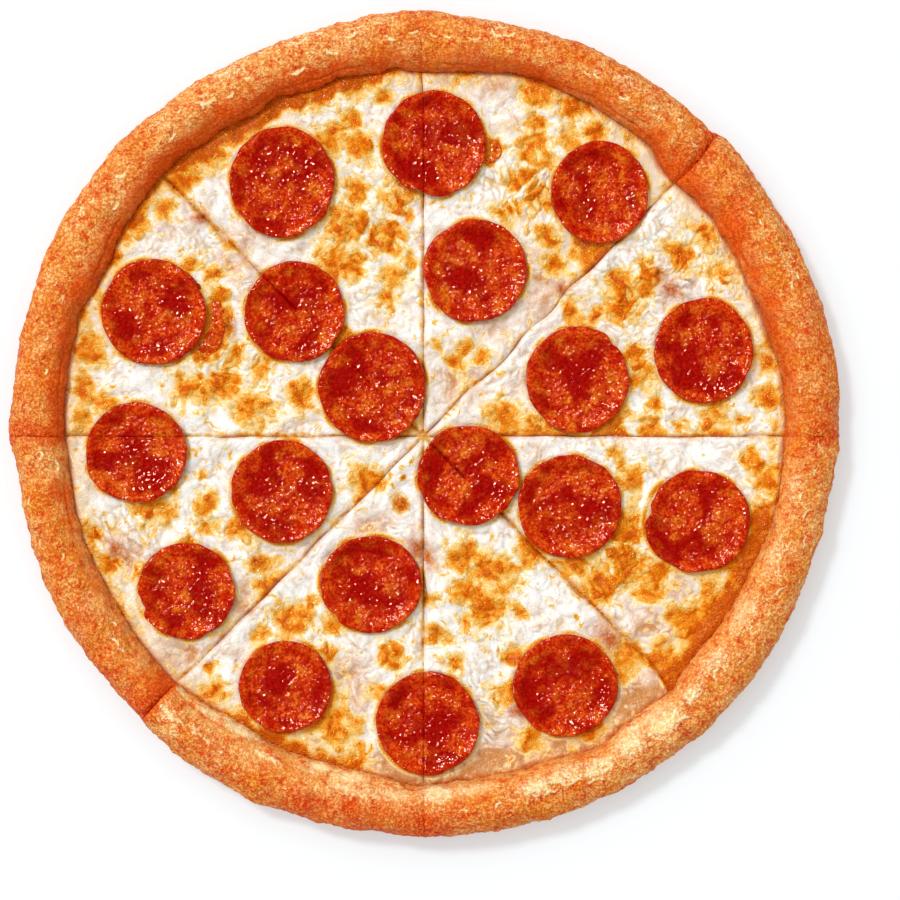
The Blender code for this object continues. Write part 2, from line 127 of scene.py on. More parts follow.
# Dimples with a pale lip, partly flour and partly a painted highlight, and a pit left less pale as painted
# shade: bearing in degrees, distance from the middle and length
FLOUR_AND_HIGHLIGHT = (
    (5.5, 137, 1.5), (12, 138.8, 1.2), (20.8, 142.4, 2.4), (21.5, 145.5, 1.3), (24.7, 146.4, 1.6),
    (25.6, 143.7, 1.5), (27, 144.8, 1.2), (26, 138.3, 2.3), (31, 142.3, 1.8), (31.6, 145.3, 1.2),
    (33, 141.3, 1.4), (46.5, 141, 1.5), (50, 144, 1.7), (51.8, 144.2, 1.6), (54.3, 141.4, 2.2),
    (58.5, 138.8, 2.8), (59.7, 146, 1.6), (63.8, 140.8, 2.2), (65.2, 140.1, 1.7), (77.5, 144.6, 2.6),
    (79.6, 143.8, 2.6), (79, 147, 1.7), (82.5, 140.8, 2.8), (86.5, 140.8, 2.8), (89, 140.9, 2.2),
    (92, 142.2, 2.2), (95, 140.4, 2.4), (99, 146.2, 2.2), (100.9, 143.2, 3.0), (104, 139.1, 3.2),
    (109.5, 136, 4.0), (105, 147, 1.8), (108, 145.9, 3.2), (113.5, 147.6, 2.4), (116.9, 141, 1.7),
    (119.8, 147, 3.4), (120.5, 138.2, 2.3), (124, 140.8, 3.4), (128, 144, 1.5), (131, 138.6, 2.3),
    (140.5, 142, 2.5), (144.5, 137, 2.5), (148, 147.4, 1.8), (146, 144.8, 1.4), (184.5, 139, 2.4),
    (186.3, 133.6, 2.4), (191, 146, 1.6), (200, 139, 1.8), (212.5, 133.2, 1.6), (215, 136.3, 2.4),
    (216.6, 136.5, 2.0), (228, 139.5, 3.8), (230.4, 139.3, 3.2), (235.5, 138.8, 2.2), (238, 139.4, 1.8),
    (241.5, 143.8, 1.4), (243, 132.7, 2.2), (245.5, 133.1, 2.4), (276, 140, 1.8), (281, 140, 2.6),
    (289, 140.6, 2.8), (290.6, 138, 3.2), (293, 140, 2.8), (296, 143, 3.2), (286.5, 138.2, 2.8),
    (303, 139, 3.8), (307, 139.6, 3.4), (311.6, 142, 3.8), (314.5, 139, 2.8), (319.5, 138.7, 2.8),
    (328, 139.7, 2.0), (331, 136.5, 1.8), (335, 142, 2.8), (337.5, 139, 1.8), (341.5, 139, 1.8),
    (343, 144, 2.2), (347, 142, 2.8), (353, 142.5, 2.2), (349.5, 138.8, 2.2), (357, 143.5, 2.2),
    (167, 140, 1.4), (159, 143, 1.5), (172, 138, 1.2), (323, 143, 1.5), (298, 139.5, 2.4),
    (249, 141, 1.4), (206, 143, 1.4),
)


def smooth(low, high, value):
    """0 up to low, 1 from high on, and an even rise between."""
    held = np.clip((value - low) / (high - low), 0, 1)
    return held * held * (3 - 2 * held)


def fade(distance, spread):
    """1 where the distance is 0, falling away to either side of it, with little left past the spread."""
    return np.exp(-((distance / spread) ** 2))


def waver(x, y, wave, seed):
    """A smooth random height from about -1 to 1 at each point, with bumps about one wave apart."""
    turns = np.random.default_rng(seed).uniform(0, math.tau, (256, 256))
    across, along = (0.8 * x + 0.6 * y) / wave, (0.8 * y - 0.6 * x) / wave
    column, row = np.floor(across).astype(int), np.floor(along).astype(int)
    right, up = across - column, along - row

    def pull(step_right, step_up):
        turn = turns[(column + step_right) & 255, (row + step_up) & 255]
        return np.cos(turn) * (right - step_right) + np.sin(turn) * (up - step_up)

    ease_right = right**3 * (right * (6 * right - 15) + 10)
    ease_up = up**3 * (up * (6 * up - 15) + 10)
    near = pull(0, 0) + ease_right * (pull(1, 0) - pull(0, 0))
    far = pull(0, 1) + ease_right * (pull(1, 1) - pull(0, 1))
    return 1.5 * (near + ease_up * (far - near))


def nearest_spot(x, y, wave, seed):
    """Each point's offset from the nearest of many spots, that spot's draw and its lead on the next."""
    draws = np.random.default_rng(seed).uniform(0, 1, (3, 128, 128))
    column, row = np.floor(x / wave).astype(int), np.floor(y / wave).astype(int)
    best, second = np.full(x.shape, np.inf), np.full(x.shape, np.inf)
    offset_x, offset_y, chance = np.zeros(x.shape), np.zeros(x.shape), np.zeros(x.shape)
    for step_x in (-1, 0, 1):
        for step_y in (-1, 0, 1):
            place = ((column + step_x) & 127, (row + step_y) & 127)
            away_x = x - (column + step_x + draws[0][place]) * wave
            away_y = y - (row + step_y + draws[1][place]) * wave
            away = np.hypot(away_x, away_y)
            nearer = away < best
            second = np.where(nearer, best, np.minimum(second, away))
            best = np.where(nearer, away, best)
            offset_x = np.where(nearer, away_x, offset_x)
            offset_y = np.where(nearer, away_y, offset_y)
            chance = np.where(nearer, draws[2][place], chance)
    return offset_x, offset_y, chance, second - best


def swell(bearing, waves, seed):
    """A smooth value from about -1 to 1 that changes round the pizza, as the solids have it."""
    places, back = np.unique(bearing, return_inverse=True)
    reach_round = waves / math.tau
    shift = Vector((seed, -seed, seed))
    round_trip = [Vector((math.cos(turn), math.sin(turn), 0)) * reach_round + shift for turn in places]
    return np.array([1.6 * noise.noise(place) for place in round_trip])[back]


def reach(bearing):
    """How far the pizza's outline is from the point where the cuts cross."""
    along = CUT_X * np.cos(bearing) + CUT_Y * np.sin(bearing)
    return np.sqrt(along**2 - CUT_X**2 - CUT_Y**2 + PIZZA_RADIUS**2) - along


def laid_out(index, share, radius):
    """x and y of points of a slice, from their share of its angle and their radius on a whole round pizza."""
    bearing, middle = (index + share) * EIGHTH, (index + 0.5) * EIGHTH
    shift = CUT_GAP / 2 / math.sin(EIGHTH / 2)
    stretch = reach(bearing) * radius / PIZZA_RADIUS
    x = CUT_X + np.cos(bearing) * stretch + math.cos(middle) * shift
    y = CUT_Y + np.sin(bearing) * stretch + math.sin(middle) * shift
    for cut, turned in ((index, share * EIGHTH), (index + 1, (1 - share) * EIGHTH)):
        run, off = radius * np.cos(turned), radius * np.sin(turned)
        own_sway = CUT_SWAY[cut % SLICE_COUNT]
        strayed = own_sway * waver(run, 0 * run + 40 * (cut % SLICE_COUNT), SWAY_WAVE, 7) * smooth(4, 20, run)
        at_rim, at_outline = CUT_AT_RIM[cut % SLICE_COUNT]
        strayed += at_rim * smooth(118, 130, run) + at_outline * smooth(137, 152, run)
        strayed *= fade(off, SWAY_SPREAD)
        x -= math.sin(cut * EIGHTH) * strayed
        y += math.cos(cut * EIGHTH) * strayed
    return x, y


def from_cut(share, radius):
    """How far a point is from the nearer cut."""
    return radius * np.sin(np.minimum(share, 1 - share) * EIGHTH)


def points_of(mesh):
    """The points of a mesh in millimetres, as three rows."""
    flat = np.zeros(len(mesh.vertices) * 3)
    mesh.vertices.foreach_get("co", flat)
    return flat.reshape(-1, 3).T / MM


def put_points(mesh, x, y, z):
    """Writes points in millimetres back to a mesh."""
    mesh.vertices.foreach_set("co", (np.stack((x, y, z), axis=1) * MM).ravel())
    mesh.update()


def put_mask(mesh, name, values):
    """Keeps a value from 0 to 1 for each point of a mesh, for its material to read."""
    kept = mesh.attributes.new(name, "FLOAT", "POINT")
    kept.data.foreach_set("value", np.clip(values, 0, 1).astype(np.float32))


def edit_only(piece):
    """Makes a piece the only one selected and opens it for editing, by its points."""
    bpy.ops.object.select_all(action="DESELECT")
    piece.select_set(True)
    bpy.context.view_layer.objects.active = piece
    bpy.ops.object.mode_set(mode="EDIT")
    bpy.ops.mesh.select_mode(type="VERT")


def pick(piece, chosen, kind="VERT"):
    """Selects just the chosen points or faces of the piece that is open for editing."""
    bpy.ops.mesh.select_mode(type=kind)
    bpy.ops.mesh.select_all(action="DESELECT")
    bpy.ops.object.mode_set(mode="OBJECT")
    parts = piece.data.vertices if kind == "VERT" else piece.data.polygons
    parts.foreach_set("select", np.asarray(chosen, bool))
    bpy.ops.object.mode_set(mode="EDIT")


def copy_of(piece, name):
    """A named copy of a piece with a mesh of its own."""
    made = piece.copy()
    made.data = piece.data.copy()
    made.name = name
    made.data.name = name
    bpy.context.scene.collection.objects.link(made)
    return made


def finish_piece(piece, material, slot, *nodes):
    """Gives a finished piece its normals and material, lets it ride, and shows it in place of solids."""
    bpy.ops.object.select_all(action="DESELECT")
    piece.select_set(True)
    bpy.context.view_layer.objects.active = piece
    bpy.ops.object.shade_smooth_by_angle(angle=math.radians(55))
    piece.data.materials.clear()
    piece.data.materials.append(material)
    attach(piece, "root")
    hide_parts(*nodes)


def node(tree, kind, values=None, links=None, **settings):
    """Adds a shader node with its settings, the values of its sockets and what feeds them."""
    made = tree.nodes.new(kind)
    for name, value in settings.items():
        setattr(made, name, value)
    for socket, value in (values or {}).items():
        made.inputs[socket].default_value = value
    for socket, source in (links or {}).items():
        tree.links.new(source, made.inputs[socket])
    return made


def blend(tree, share, below, above, how="MIX"):
    """A mix of two colours, each one a colour or what feeds it. share is 0 to 1, or what feeds it."""
    made = node(tree, "ShaderNodeMix", data_type="RGBA", blend_type=how)
    for socket, given in ((0, share), (6, below), (7, above)):
        if isinstance(given, bpy.types.NodeSocket):
            tree.links.new(given, made.inputs[socket])
        elif socket:
            made.inputs[socket].default_value = (*given, 1)
        else:
            made.inputs[socket].default_value = given
    return made.outputs[2]


def ramp(tree, source, *stops):
    """Turns a value into a grey or a colour by stops of (place, value or colour)."""
    made = node(tree, "ShaderNodeValToRGB", links={0: source})
    while len(made.color_ramp.elements) < len(stops):
        made.color_ramp.elements.new(0.5)
    for element, (place, value) in zip(made.color_ramp.elements, stops):
        element.position = place
        element.color = (*value, 1) if isinstance(value, tuple) else (value, value, value, 1)
    return made.outputs["Color"]


def mask(tree, name):
    """The value that a piece's points carry under a name."""
    return node(tree, "ShaderNodeAttribute", attribute_name=name).outputs["Fac"]


def reckon(tree, how, *given):
    """What an operation of the Math node makes of two or three values, each one a number or what feeds it."""
    made = node(tree, "ShaderNodeMath", operation=how)
    for socket, value in enumerate(given):
        if isinstance(value, bpy.types.NodeSocket):
            tree.links.new(value, made.inputs[socket])
        else:
            made.inputs[socket].default_value = value
    return made.outputs[0]


def bump(tree, height, strength, depth, *below):
    """The normal that a height gives: how strong, how many millimetres deep, and over which other bump."""
    made = node(tree, "ShaderNodeBump", {"Strength": strength, "Distance": depth * MM}, {"Height": height})
    for normal in below:
        tree.links.new(normal, made.inputs["Normal"])
    return made.outputs[0]


def mottle(tree, per_metre, detail=2.0, roughness=0.55):
    """An uneven value that changes over the piece, at about so many blotches to the metre."""
    place = node(tree, "ShaderNodeTexCoord").outputs["Object"]
    values = {"Scale": per_metre, "Detail": detail, "Roughness": roughness}
    return node(tree, "ShaderNodeTexNoise", values, {"Vector": place}).outputs["Fac"]


def new_material(name, specular=0.5, **coat):
    """A material with its Principled shader, whose even values are set on its own sockets."""
    made = bpy.data.materials.new(name)
    made.use_nodes = True
    shader = made.node_tree.nodes["Principled BSDF"]
    shader.inputs["Specular IOR Level"].default_value = specular
    for socket, value in coat.items():
        shader.inputs[socket.replace("_", " ")].default_value = value
    return made, made.node_tree, shader


def new_group(name, inputs, outputs):
    """An empty shader node group with named sockets, and its two end nodes."""
    group = bpy.data.node_groups.new(name, "ShaderNodeTree")
    for label, value in inputs:
        socket = group.interface.new_socket(label, in_out="INPUT", socket_type="NodeSocketFloat")
        socket.default_value = value
    for label in outputs:
        group.interface.new_socket(label, in_out="OUTPUT", socket_type="NodeSocketFloat")
    return group, group.nodes.new("NodeGroupInput"), group.nodes.new("NodeGroupOutput")


def grain_group():
    """Fine grain: its height, and a tint, light on the grains and dark between. Round makes it beads."""
    inputs = (("Size", 900.0), ("Fine Share", 0.5), ("Round", 0.0))
    group, given, result = new_group("grain", inputs, ("Height", "Tint"))
    place = node(group, "ShaderNodeTexCoord").outputs["Object"]
    size = given.outputs["Size"]
    soft = node(group, "ShaderNodeTexNoise", {"Detail": 1.0}, {"Vector": place, "Scale": size}).outputs["Fac"]
    cells = node(group, "ShaderNodeTexVoronoi", links={"Vector": place, "Scale": size}).outputs["Distance"]
    beads = node(group, "ShaderNodeMapRange", {1: 0.1, 2: 0.75, 3: 0.8, 4: 0.2}, {0: cells}).outputs[0]
    coarse = node(group, "ShaderNodeMix", links={0: given.outputs["Round"], 2: soft, 3: beads}).outputs[0]
    finer = {"Vector": place, "Scale": reckon(group, "MULTIPLY", size, 2.1)}
    fine = node(group, "ShaderNodeTexNoise", {"Detail": 0.0}, finer).outputs["Fac"]
    both = node(group, "ShaderNodeMix", links={0: given.outputs["Fine Share"], 2: coarse, 3: fine}).outputs[0]
    group.links.new(both, result.inputs["Height"])
    tint = node(group, "ShaderNodeMapRange", {1: 0.40, 2: 0.62}, {0: both}).outputs[0]
    group.links.new(tint, result.inputs["Tint"])
    return group


GRAIN = grain_group()
LEVEL = (0.5, 0.5, 0.5)


def crust_material():
    """Baked dough: orange tan with paler grains, red where it baked brown and as painted shade, and pale
    where flour stuck and as painted light.
    """
    made, tree, shader = new_material("baked_crust", specular=0.12)
    grain = node(tree, "ShaderNodeGroup", {"Size": 820.0, "Fine Share": 0.35, "Round": 0.4}, node_tree=GRAIN)
    even = blend(tree, mask(tree, "smooth_side"), (0, 0, 0), (0.4, 0.4, 0.4))
    sharp = ramp(tree, grain.outputs["Tint"], (0.1, 0), (0.92, 1))
    tint = blend(tree, even, sharp, LEVEL)
    mottled = ramp(tree, mottle(tree, 130, 3.0), (0.38, 0), (0.68, 0.85))
    fair = blend(tree, mask(tree, "fair"), mottled, (1, 1, 1))
    between_grains = blend(tree, fair, (0.72, 0.15, 0.007), (0.82, 0.28, 0.045))
    grains = blend(tree, fair, (0.93, 0.41, 0.052), (1.0, 0.70, 0.30))
    red = blend(tree, tint, (0.60, 0.034, 0.001), (0.92, 0.18, 0.010))
    toasted = ramp(tree, mottle(tree, 300, 3.0, 0.65), (0.47, 0), (0.65, 0.9))
    top = blend(tree, toasted, blend(tree, tint, between_grains, grains), red)
    # Red where the dough baked brown, and as painted shade on the inner side, at the cuts and in the fold
    browned_and_shade = blend(tree, mask(tree, "browned_and_shade"), top, red)
    cream = blend(tree, tint, (0.95, 0.62, 0.22), (1.0, 0.90, 0.58))
    # Pale where flour stuck and, where the rim faces the lamp, as painted light
    dusted_and_lit = reckon(tree, "MULTIPLY_ADD", tint, 0.3, mask(tree, "pale"))
    floured_and_lit = blend(tree, ramp(tree, dusted_and_lit, (0.25, 0), (1.1, 1)), browned_and_shade, cream)
    tree.links.new(floured_and_lit, shader.inputs["Base Color"])
    tree.links.new(ramp(tree, tint, (0, 0.5), (1, 0.68)), shader.inputs["Roughness"])
    height = blend(tree, even, grain.outputs["Height"], LEVEL)
    tree.links.new(bump(tree, height, 1.0, 1.3), shader.inputs["Normal"])
    return made


def plain_dough():
    """One slice of dough swept round the point where the cuts cross, before its rim swells in the oven."""
    bpy.ops.object.select_all(action="DESELECT")
    middle = Vector((CUT_X + RIM_RADIUS, CUT_Y, RIM_HEIGHT)) * MM
    upright = (math.pi / 2, 0, 0)
    bpy.ops.mesh.primitive_circle_add(vertices=RIM_POINTS, radius=1, location=middle, rotation=upright)
    slice_piece = bpy.context.object
    slice_piece.scale = (RIM_HALF_WIDTH * MM, RIM_HALF_HEIGHT * MM, 1)
    bpy.ops.object.transform_apply(location=True, rotation=True, scale=True)
    x, _, z = points_of(slice_piece.data)
    outward, upward = (x - CUT_X - RIM_RADIUS) / RIM_HALF_WIDTH, (z - RIM_HEIGHT) / RIM_HALF_HEIGHT
    turn = np.arctan2(upward, outward)
    turn = np.where(turn < RIM_FROM, turn + math.tau, turn)
    edit_only(slice_piece)
    pick(slice_piece, turn > RIM_TO)
    bpy.ops.mesh.delete(type="VERT")
    for end, stops in (("inner", ((0, BASE_TOP),)), ("outer", ((RIM_FOOT, 0), (0, 0)))):
        bpy.ops.object.mode_set(mode="OBJECT")
        x, _, z = points_of(slice_piece.data)
        low = np.where((x < CUT_X + RIM_RADIUS) == (end == "inner"), z, np.inf)
        here = int(np.argmin(low))
        at = (x[here] - CUT_X, z[here])
        bpy.ops.object.mode_set(mode="EDIT")
        pick(slice_piece, np.arange(len(x)) == here)
        for stop in stops:
            move = ((stop[0] - at[0]) * MM, 0, (stop[1] - at[1]) * MM)
            bpy.ops.mesh.extrude_vertices_move(TRANSFORM_OT_translate={"value": move})
            at = stop
    bpy.ops.mesh.select_all(action="SELECT")
    centre = (CUT_X * MM, CUT_Y * MM, 0)
    bpy.ops.mesh.spin(steps=RIM_STEPS, angle=-EIGHTH, center=centre, axis=(0, 0, 1))
    bpy.ops.mesh.select_all(action="SELECT")
    bpy.ops.mesh.remove_doubles(threshold=1e-6)
    bpy.ops.object.mode_set(mode="OBJECT")
    return slice_piece


def share_and_radius(x, y):
    """Where points of an unshaped slice stand: their share of its angle and their radius."""
    radius = np.hypot(x - CUT_X, y - CUT_Y)
    bearing = np.where(radius > 1e-3, np.abs(np.arctan2(y - CUT_Y, x - CUT_X)), 0)
    return np.clip(bearing / EIGHTH, 0, 1), radius


def close_cut_sides(piece):
    """Fills the two flat sides that the cutter leaves."""
    x, y, _ = points_of(piece.data)
    share, radius = share_and_radius(x, y)
    edit_only(piece)
    for side in (share < 1e-5, share > 1 - 1e-5):
        pick(piece, side | (radius < 1e-3))
        bpy.ops.mesh.edge_face_add()
    bpy.ops.mesh.select_all(action="SELECT")
    bpy.ops.mesh.normals_make_consistent(inside=False)
    bpy.ops.object.mode_set(mode="OBJECT")


def rim_at(x, y):
    """The rim's outer radius, inner radius and inner tone at each point's bearing, on a whole round pizza."""
    bearing = np.degrees(np.arctan2(y, x)) % 360
    places = [row[0] for row in RIM_AT]
    found = []
    for column in (1, 2, 3):
        values = [row[column] for row in RIM_AT]
        near = [np.interp(bearing + step, places, values, period=360) for step in (-0.8, 0, 0.8)]
        found.append(sum(near) / 3)
    lean = -CUT_X * np.cos(np.radians(bearing)) - CUT_Y * np.sin(np.radians(bearing))
    outer, inner = (edge + lean * (1 - edge / PIZZA_RADIUS) for edge in found[:2])
    return outer, inner, found[2]


def rim_marks(along, around, turn, bearing, stand):
    """The rim's dimples, their lips pale as flour and as painted highlight, and pale stretches that are
    partly painted light: what they add to its height and where they are pale.
    """
    top = smooth(math.radians(5), math.radians(30), turn)
    top *= 1 - smooth(math.radians(130), math.radians(150), turn)
    away_along, away_around, chance, _ = nearest_spot(along, around, 6.0, 32)
    here = top * (chance < 0.35)
    height = -0.3 * here * np.exp(-(away_along**2) - (away_around / 0.7) ** 2)
    pale = np.zeros(along.shape)
    ragged = 1 + 0.5 * waver(along, around, 2.4, 35) + 0.4 * waver(along, around, 6, 36)
    # Pale stretches, partly painted light where the rim faces the lamp
    for mark_bearing, mark_radius, long, wide, strength in CREAM:
        off = (bearing - mark_bearing + 180) % 360 - 180
        close = (np.abs(off) < 12) & (turn > 0)
        u, v = np.radians(off[close]) * mark_radius / long, (mark_radius - stand[close]) / wide
        pale[close] = np.maximum(pale[close], strength * np.exp(-(u**2 + v**2)) * ragged[close])
    tilts = np.random.default_rng(34).uniform(-0.6, 0.6, len(FLOUR_AND_HIGHLIGHT))
    for (mark_bearing, mark_radius, long), tilt in zip(FLOUR_AND_HIGHLIGHT, tilts):
        off = (bearing - mark_bearing + 180) % 360 - 180
        close = (np.abs(off) < 3.5) & (top > 0)
        across, inward = np.radians(off[close]) * mark_radius, mark_radius - stand[close]
        u = (across * math.cos(tilt) + inward * math.sin(tilt)) / (0.75 * long)
        v = inward * math.cos(tilt) - across * math.sin(tilt) + 0.25 * long * (u**2 - 0.3)
        wide = 0.5 + 0.14 * long
        pit = np.exp(-(u**2) - ((v + 0.9 * wide) / (0.8 * wide)) ** 2)
        lip = np.exp(-(u**4) - ((v - 0.1 * wide) / (0.5 * wide)) ** 2)
        # Painted highlight and shade: the lip is made pale as flour and as a highlight, the pit less pale as
        # shade
        height[close] += top[close] * wide * (0.35 * lip - 0.8 * pit)
        pale[close] += top[close] * (1.5 * lip - 0.4 * pit) * np.clip(ragged[close], 0.6, 1.2)
    return height, pale


def outer_tone(x, y):
    """The outer side's tone at the bearing of each point: partly baking, partly painted shade and light."""
    bearing = np.degrees(np.arctan2(y, x)) % 360
    places, tones = zip(*OUTER_TONE)
    return sum(np.interp(bearing + step, places, tones, period=360) for step in (-0.8, 0, 0.8)) / 3


def survey_dough(index, x, y, z):
    """Where each point of a slice's dough stands: on the rim or not, how far round it, by which cut."""
    at = SimpleNamespace()
    at.share, at.radius = share_and_radius(x, y)
    at.bearing = (index + at.share) * EIGHTH
    at.outward, at.upward = (at.radius - RIM_RADIUS) / RIM_HALF_WIDTH, (z - RIM_HEIGHT) / RIM_HALF_HEIGHT
    at.on_rim = np.hypot(at.outward, at.upward) > 0.99
    at.on_rim &= at.radius > RIM_RADIUS - 1.01 * RIM_HALF_WIDTH
    turn = np.arctan2(at.upward, at.outward)
    at.turn = np.where(turn < RIM_FROM - 0.02, turn + math.tau, turn)
    at.along, at.around = at.bearing * PIZZA_RADIUS, at.turn * RIM_HALF_WIDTH

    at.cut_distance = from_cut(at.share, PIZZA_RADIUS)
    starts = at.share < 0.5
    at.cut_depth = np.where(starts, CUT_DEPTH[index], CUT_DEPTH[(index + 1) % SLICE_COUNT])
    faces = np.where(starts, index * EIGHTH - math.pi / 2, (index + 1) * EIGHTH + math.pi / 2)
    at.shaded = np.maximum(0, -np.cos(faces - LIGHT_BEARING))

    at.outline_x, at.outline_y = laid_out(index, at.share, np.full(x.shape, PIZZA_RADIUS))
    outer, inner, at.tone = rim_at(at.outline_x, at.outline_y)
    outer = outer + 0.25 * waver(at.along, 0 * at.along, 3.4, 48)
    inner = inner + 0.5 * waver(at.along, 0 * at.along, 5, 49) + 0.3 * waver(at.along, 0 * at.along, 2, 50)
    at.width = np.where(at.outward > 0, outer - RIM_RADIUS, RIM_RADIUS - inner)
    uneven_turn = at.turn + 0.35 * waver(at.along, at.around, 13, 44)
    at.inside = smooth(math.radians(95), math.radians(140), uneven_turn)
    fold_turn = math.radians(146) + 0.16 * waver(at.along, 0 * at.along, 22, 41)
    at.fold = fade(at.turn - fold_turn, 0.07) * smooth(-0.1, 0.45, waver(at.along, 0 * at.along + 9, 30, 42))
    return at


def shape_dough(piece, index):
    """Swells the rim of a slice to its uneven baked form, and has its browning, painted shade and painted
    light marked.
    """
    x, y, z = points_of(piece.data)
    at = survey_dough(index, x, y, z)
    pinch = at.cut_depth * (0.4 + 0.6 * at.shaded) * np.exp(-at.cut_distance / PINCH_REACH)
    rise = RIM_SWELL * swell(at.bearing, 11, 12.3) - PINCH_DROP * pinch
    tall = RIM_HALF_HEIGHT + np.where(at.upward > 0, rise, 0)
    base_x, base_y = laid_out(index, at.share, RIM_RADIUS + at.width * np.cos(at.turn))
    base_z = RIM_HEIGHT + tall * np.sin(at.turn)
    places = zip(base_x / 11, base_y / 11, base_z / 11)
    lump = RIM_LUMP * np.array([noise.noise(place) for place in places]) * smooth(0, 1, at.upward + 0.6)

    seen_bearing = np.degrees(np.arctan2(at.outline_y, at.outline_x))
    stand = RIM_RADIUS + at.width * np.cos(at.turn)
    marks, pale_marks = rim_marks(at.along, at.around, at.turn, seen_bearing, stand)
    grainy = 1 - 0.75 * at.inside
    relief = lump + marks - 0.6 * at.fold + 0.5 * waver(at.along, at.around, 9, 45)
    relief += 0.34 * waver(at.along, at.around, 5.5, 11) + grainy * 0.28 * waver(at.along, at.around, 2.6, 12)
    relief += grainy * 0.4 * np.maximum(waver(at.along, at.around, 1.6, 13) - 0.05, 0)
    relief *= 1 - at.cut_depth * (1 - smooth(0.05, 1.6, at.cut_distance))

    rim_radius = RIM_RADIUS + (at.width + relief) * np.cos(at.turn)
    rim_height = RIM_HEIGHT + np.minimum(tall + relief, RIM_CEILING) * np.sin(at.turn)
    new_x, new_y = laid_out(index, at.share, np.where(at.on_rim, rim_radius, at.radius))
    held_in = np.minimum(1, OUTLINE_LIMIT / np.maximum(np.hypot(new_x, new_y), 1))
    new_z = np.maximum(np.where(at.on_rim, rim_height, z), 0)
    put_points(piece.data, new_x * held_in, new_y * held_in, new_z)
    mark_baking_light_and_shade(piece, at, pale_marks)


def mark_baking_light_and_shade(piece, at, pale_marks):
    """Marks where a slice's dough is red, from baking and as painted shade, where it is pale, from flour and
    as painted light, and where it is smooth.
    """
    blotch = waver(at.along, at.around, 16, 21) + 0.6 * waver(at.along, at.around, 6, 22)
    uneven_turn = at.turn + 0.3 * waver(at.along, at.around, 10, 47)
    outside = 1 - smooth(math.radians(75), math.radians(120), uneven_turn)
    baked = outer_tone(at.outline_x, at.outline_y)
    # Partly painted shade: the inner and outer tones are redder where the rim turns from the lamp
    browned_and_shade = at.inside * np.clip(1.35 * at.tone, 0, 1) * (0.95 + 0.35 * blotch)
    browned_and_shade += outside * np.clip(baked, 0, 1) * (0.8 + 0.6 * blotch) + 0.35 * smooth(0.1, 1.1, blotch)
    # Painted shade: red along the cuts, most on the side turned from the lamp
    cut_reach = 1.2 + 4.0 * at.shaded * at.cut_depth
    browned_and_shade += at.cut_depth * (0.7 + 0.6 * at.shaded) * np.exp(-at.cut_distance / cut_reach)
    # Partly painted shade: redder in the fold's groove
    browned_and_shade += 0.6 * at.fold * smooth(-0.3, 0.3, at.tone) + 0.12 * smooth(0.5, -0.4, at.turn)
    flour = smooth(0.55, 1.15, waver(at.along, at.around, 11, 23) + 0.5 * waver(at.along, at.around, 3, 24))
    pale = pale_marks + 0.3 * flour * (1 - at.inside)
    pale = pale * (1 - at.cut_depth * (1 - smooth(0.5, 3, at.cut_distance)))
    # Pale where a tone is below 0: partly painted light, where the rim faces the lamp
    fair = outside * np.clip(-1.4 * baked, 0, 1) + 0.7 * np.clip(-at.tone, 0, 1) * (1 - outside)
    fair = fair * (0.9 + 0.5 * blotch)
    put_mask(piece.data, "fair", np.where(at.on_rim, fair, 0))
    put_mask(piece.data, "browned_and_shade", np.where(at.on_rim, browned_and_shade, 0.55))
    put_mask(piece.data, "pale", np.where(at.on_rim, pale, 0.1))
    put_mask(piece.data, "smooth_side", np.where(at.on_rim, at.inside, 0))


CRUST = crust_material()
unshaped = plain_dough()
close_cut_sides(unshaped)
for index in range(SLICE_COUNT):
    crust = copy_of(unshaped, f"crust_{index + 1}")
    shape_dough(crust, index)
    finish_piece(crust, CRUST, "crust", f"dough_{index + 1}")
bpy.data.objects.remove(unshaped)


# The sauce: a thin coat of cooked tomato on the base. It shows only at the cuts and beside the rim, so the
# solids stay as they are and get the look of moist, baked sauce.
def oil_group():
    """A film of fat: how rough it leaves the surface, and the small ripples that make it glint."""
    inputs = (("Wetness", 0.6), ("Ripple", 1400.0))
    group, given, result = new_group("oil_film", inputs, ("Roughness", "Height"))
    place = node(group, "ShaderNodeTexCoord").outputs["Object"]
    wet = reckon(group, "MULTIPLY", given.outputs["Wetness"], mottle(group, 160, 3.0, 0.5))
    rough = node(group, "ShaderNodeMapRange", {1: 0.0, 2: 0.55, 3: 0.44, 4: 0.11}, {0: wet})
    group.links.new(rough.outputs[0], result.inputs["Roughness"])
    feeds = {"Vector": place, "Scale": given.outputs["Ripple"]}
    ripple = node(group, "ShaderNodeTexNoise", {"Detail": 0.5}, feeds)
    group.links.new(ripple.outputs["Fac"], result.inputs["Height"])
    return group


OIL = oil_group()


def sauce_material():
    """Baked tomato sauce: dark orange red, lighter where it is thin, and moist."""
    made, tree, shader = new_material("tomato_sauce")
    oil = node(tree, "ShaderNodeGroup", {"Wetness": 0.9, "Ripple": 900.0}, node_tree=OIL)
    thinness = ramp(tree, mottle(tree, 240, 4.0), (0.35, 0), (0.65, 1))
    colour = blend(tree, thinness, (0.36, 0.03, 0.004), (0.72, 0.2, 0.02))
    tree.links.new(colour, shader.inputs["Base Color"])
    tree.links.new(oil.outputs["Roughness"], shader.inputs["Roughness"])
    tree.links.new(bump(tree, oil.outputs["Height"], 0.5, 0.6), shader.inputs["Normal"])
    return made


SAUCE = sauce_material()
for index in range(SLICE_COUNT):
    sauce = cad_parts[f"sauce_{index + 1}"]
    sauce.data.materials.clear()
    sauce.data.materials.append(SAUCE)


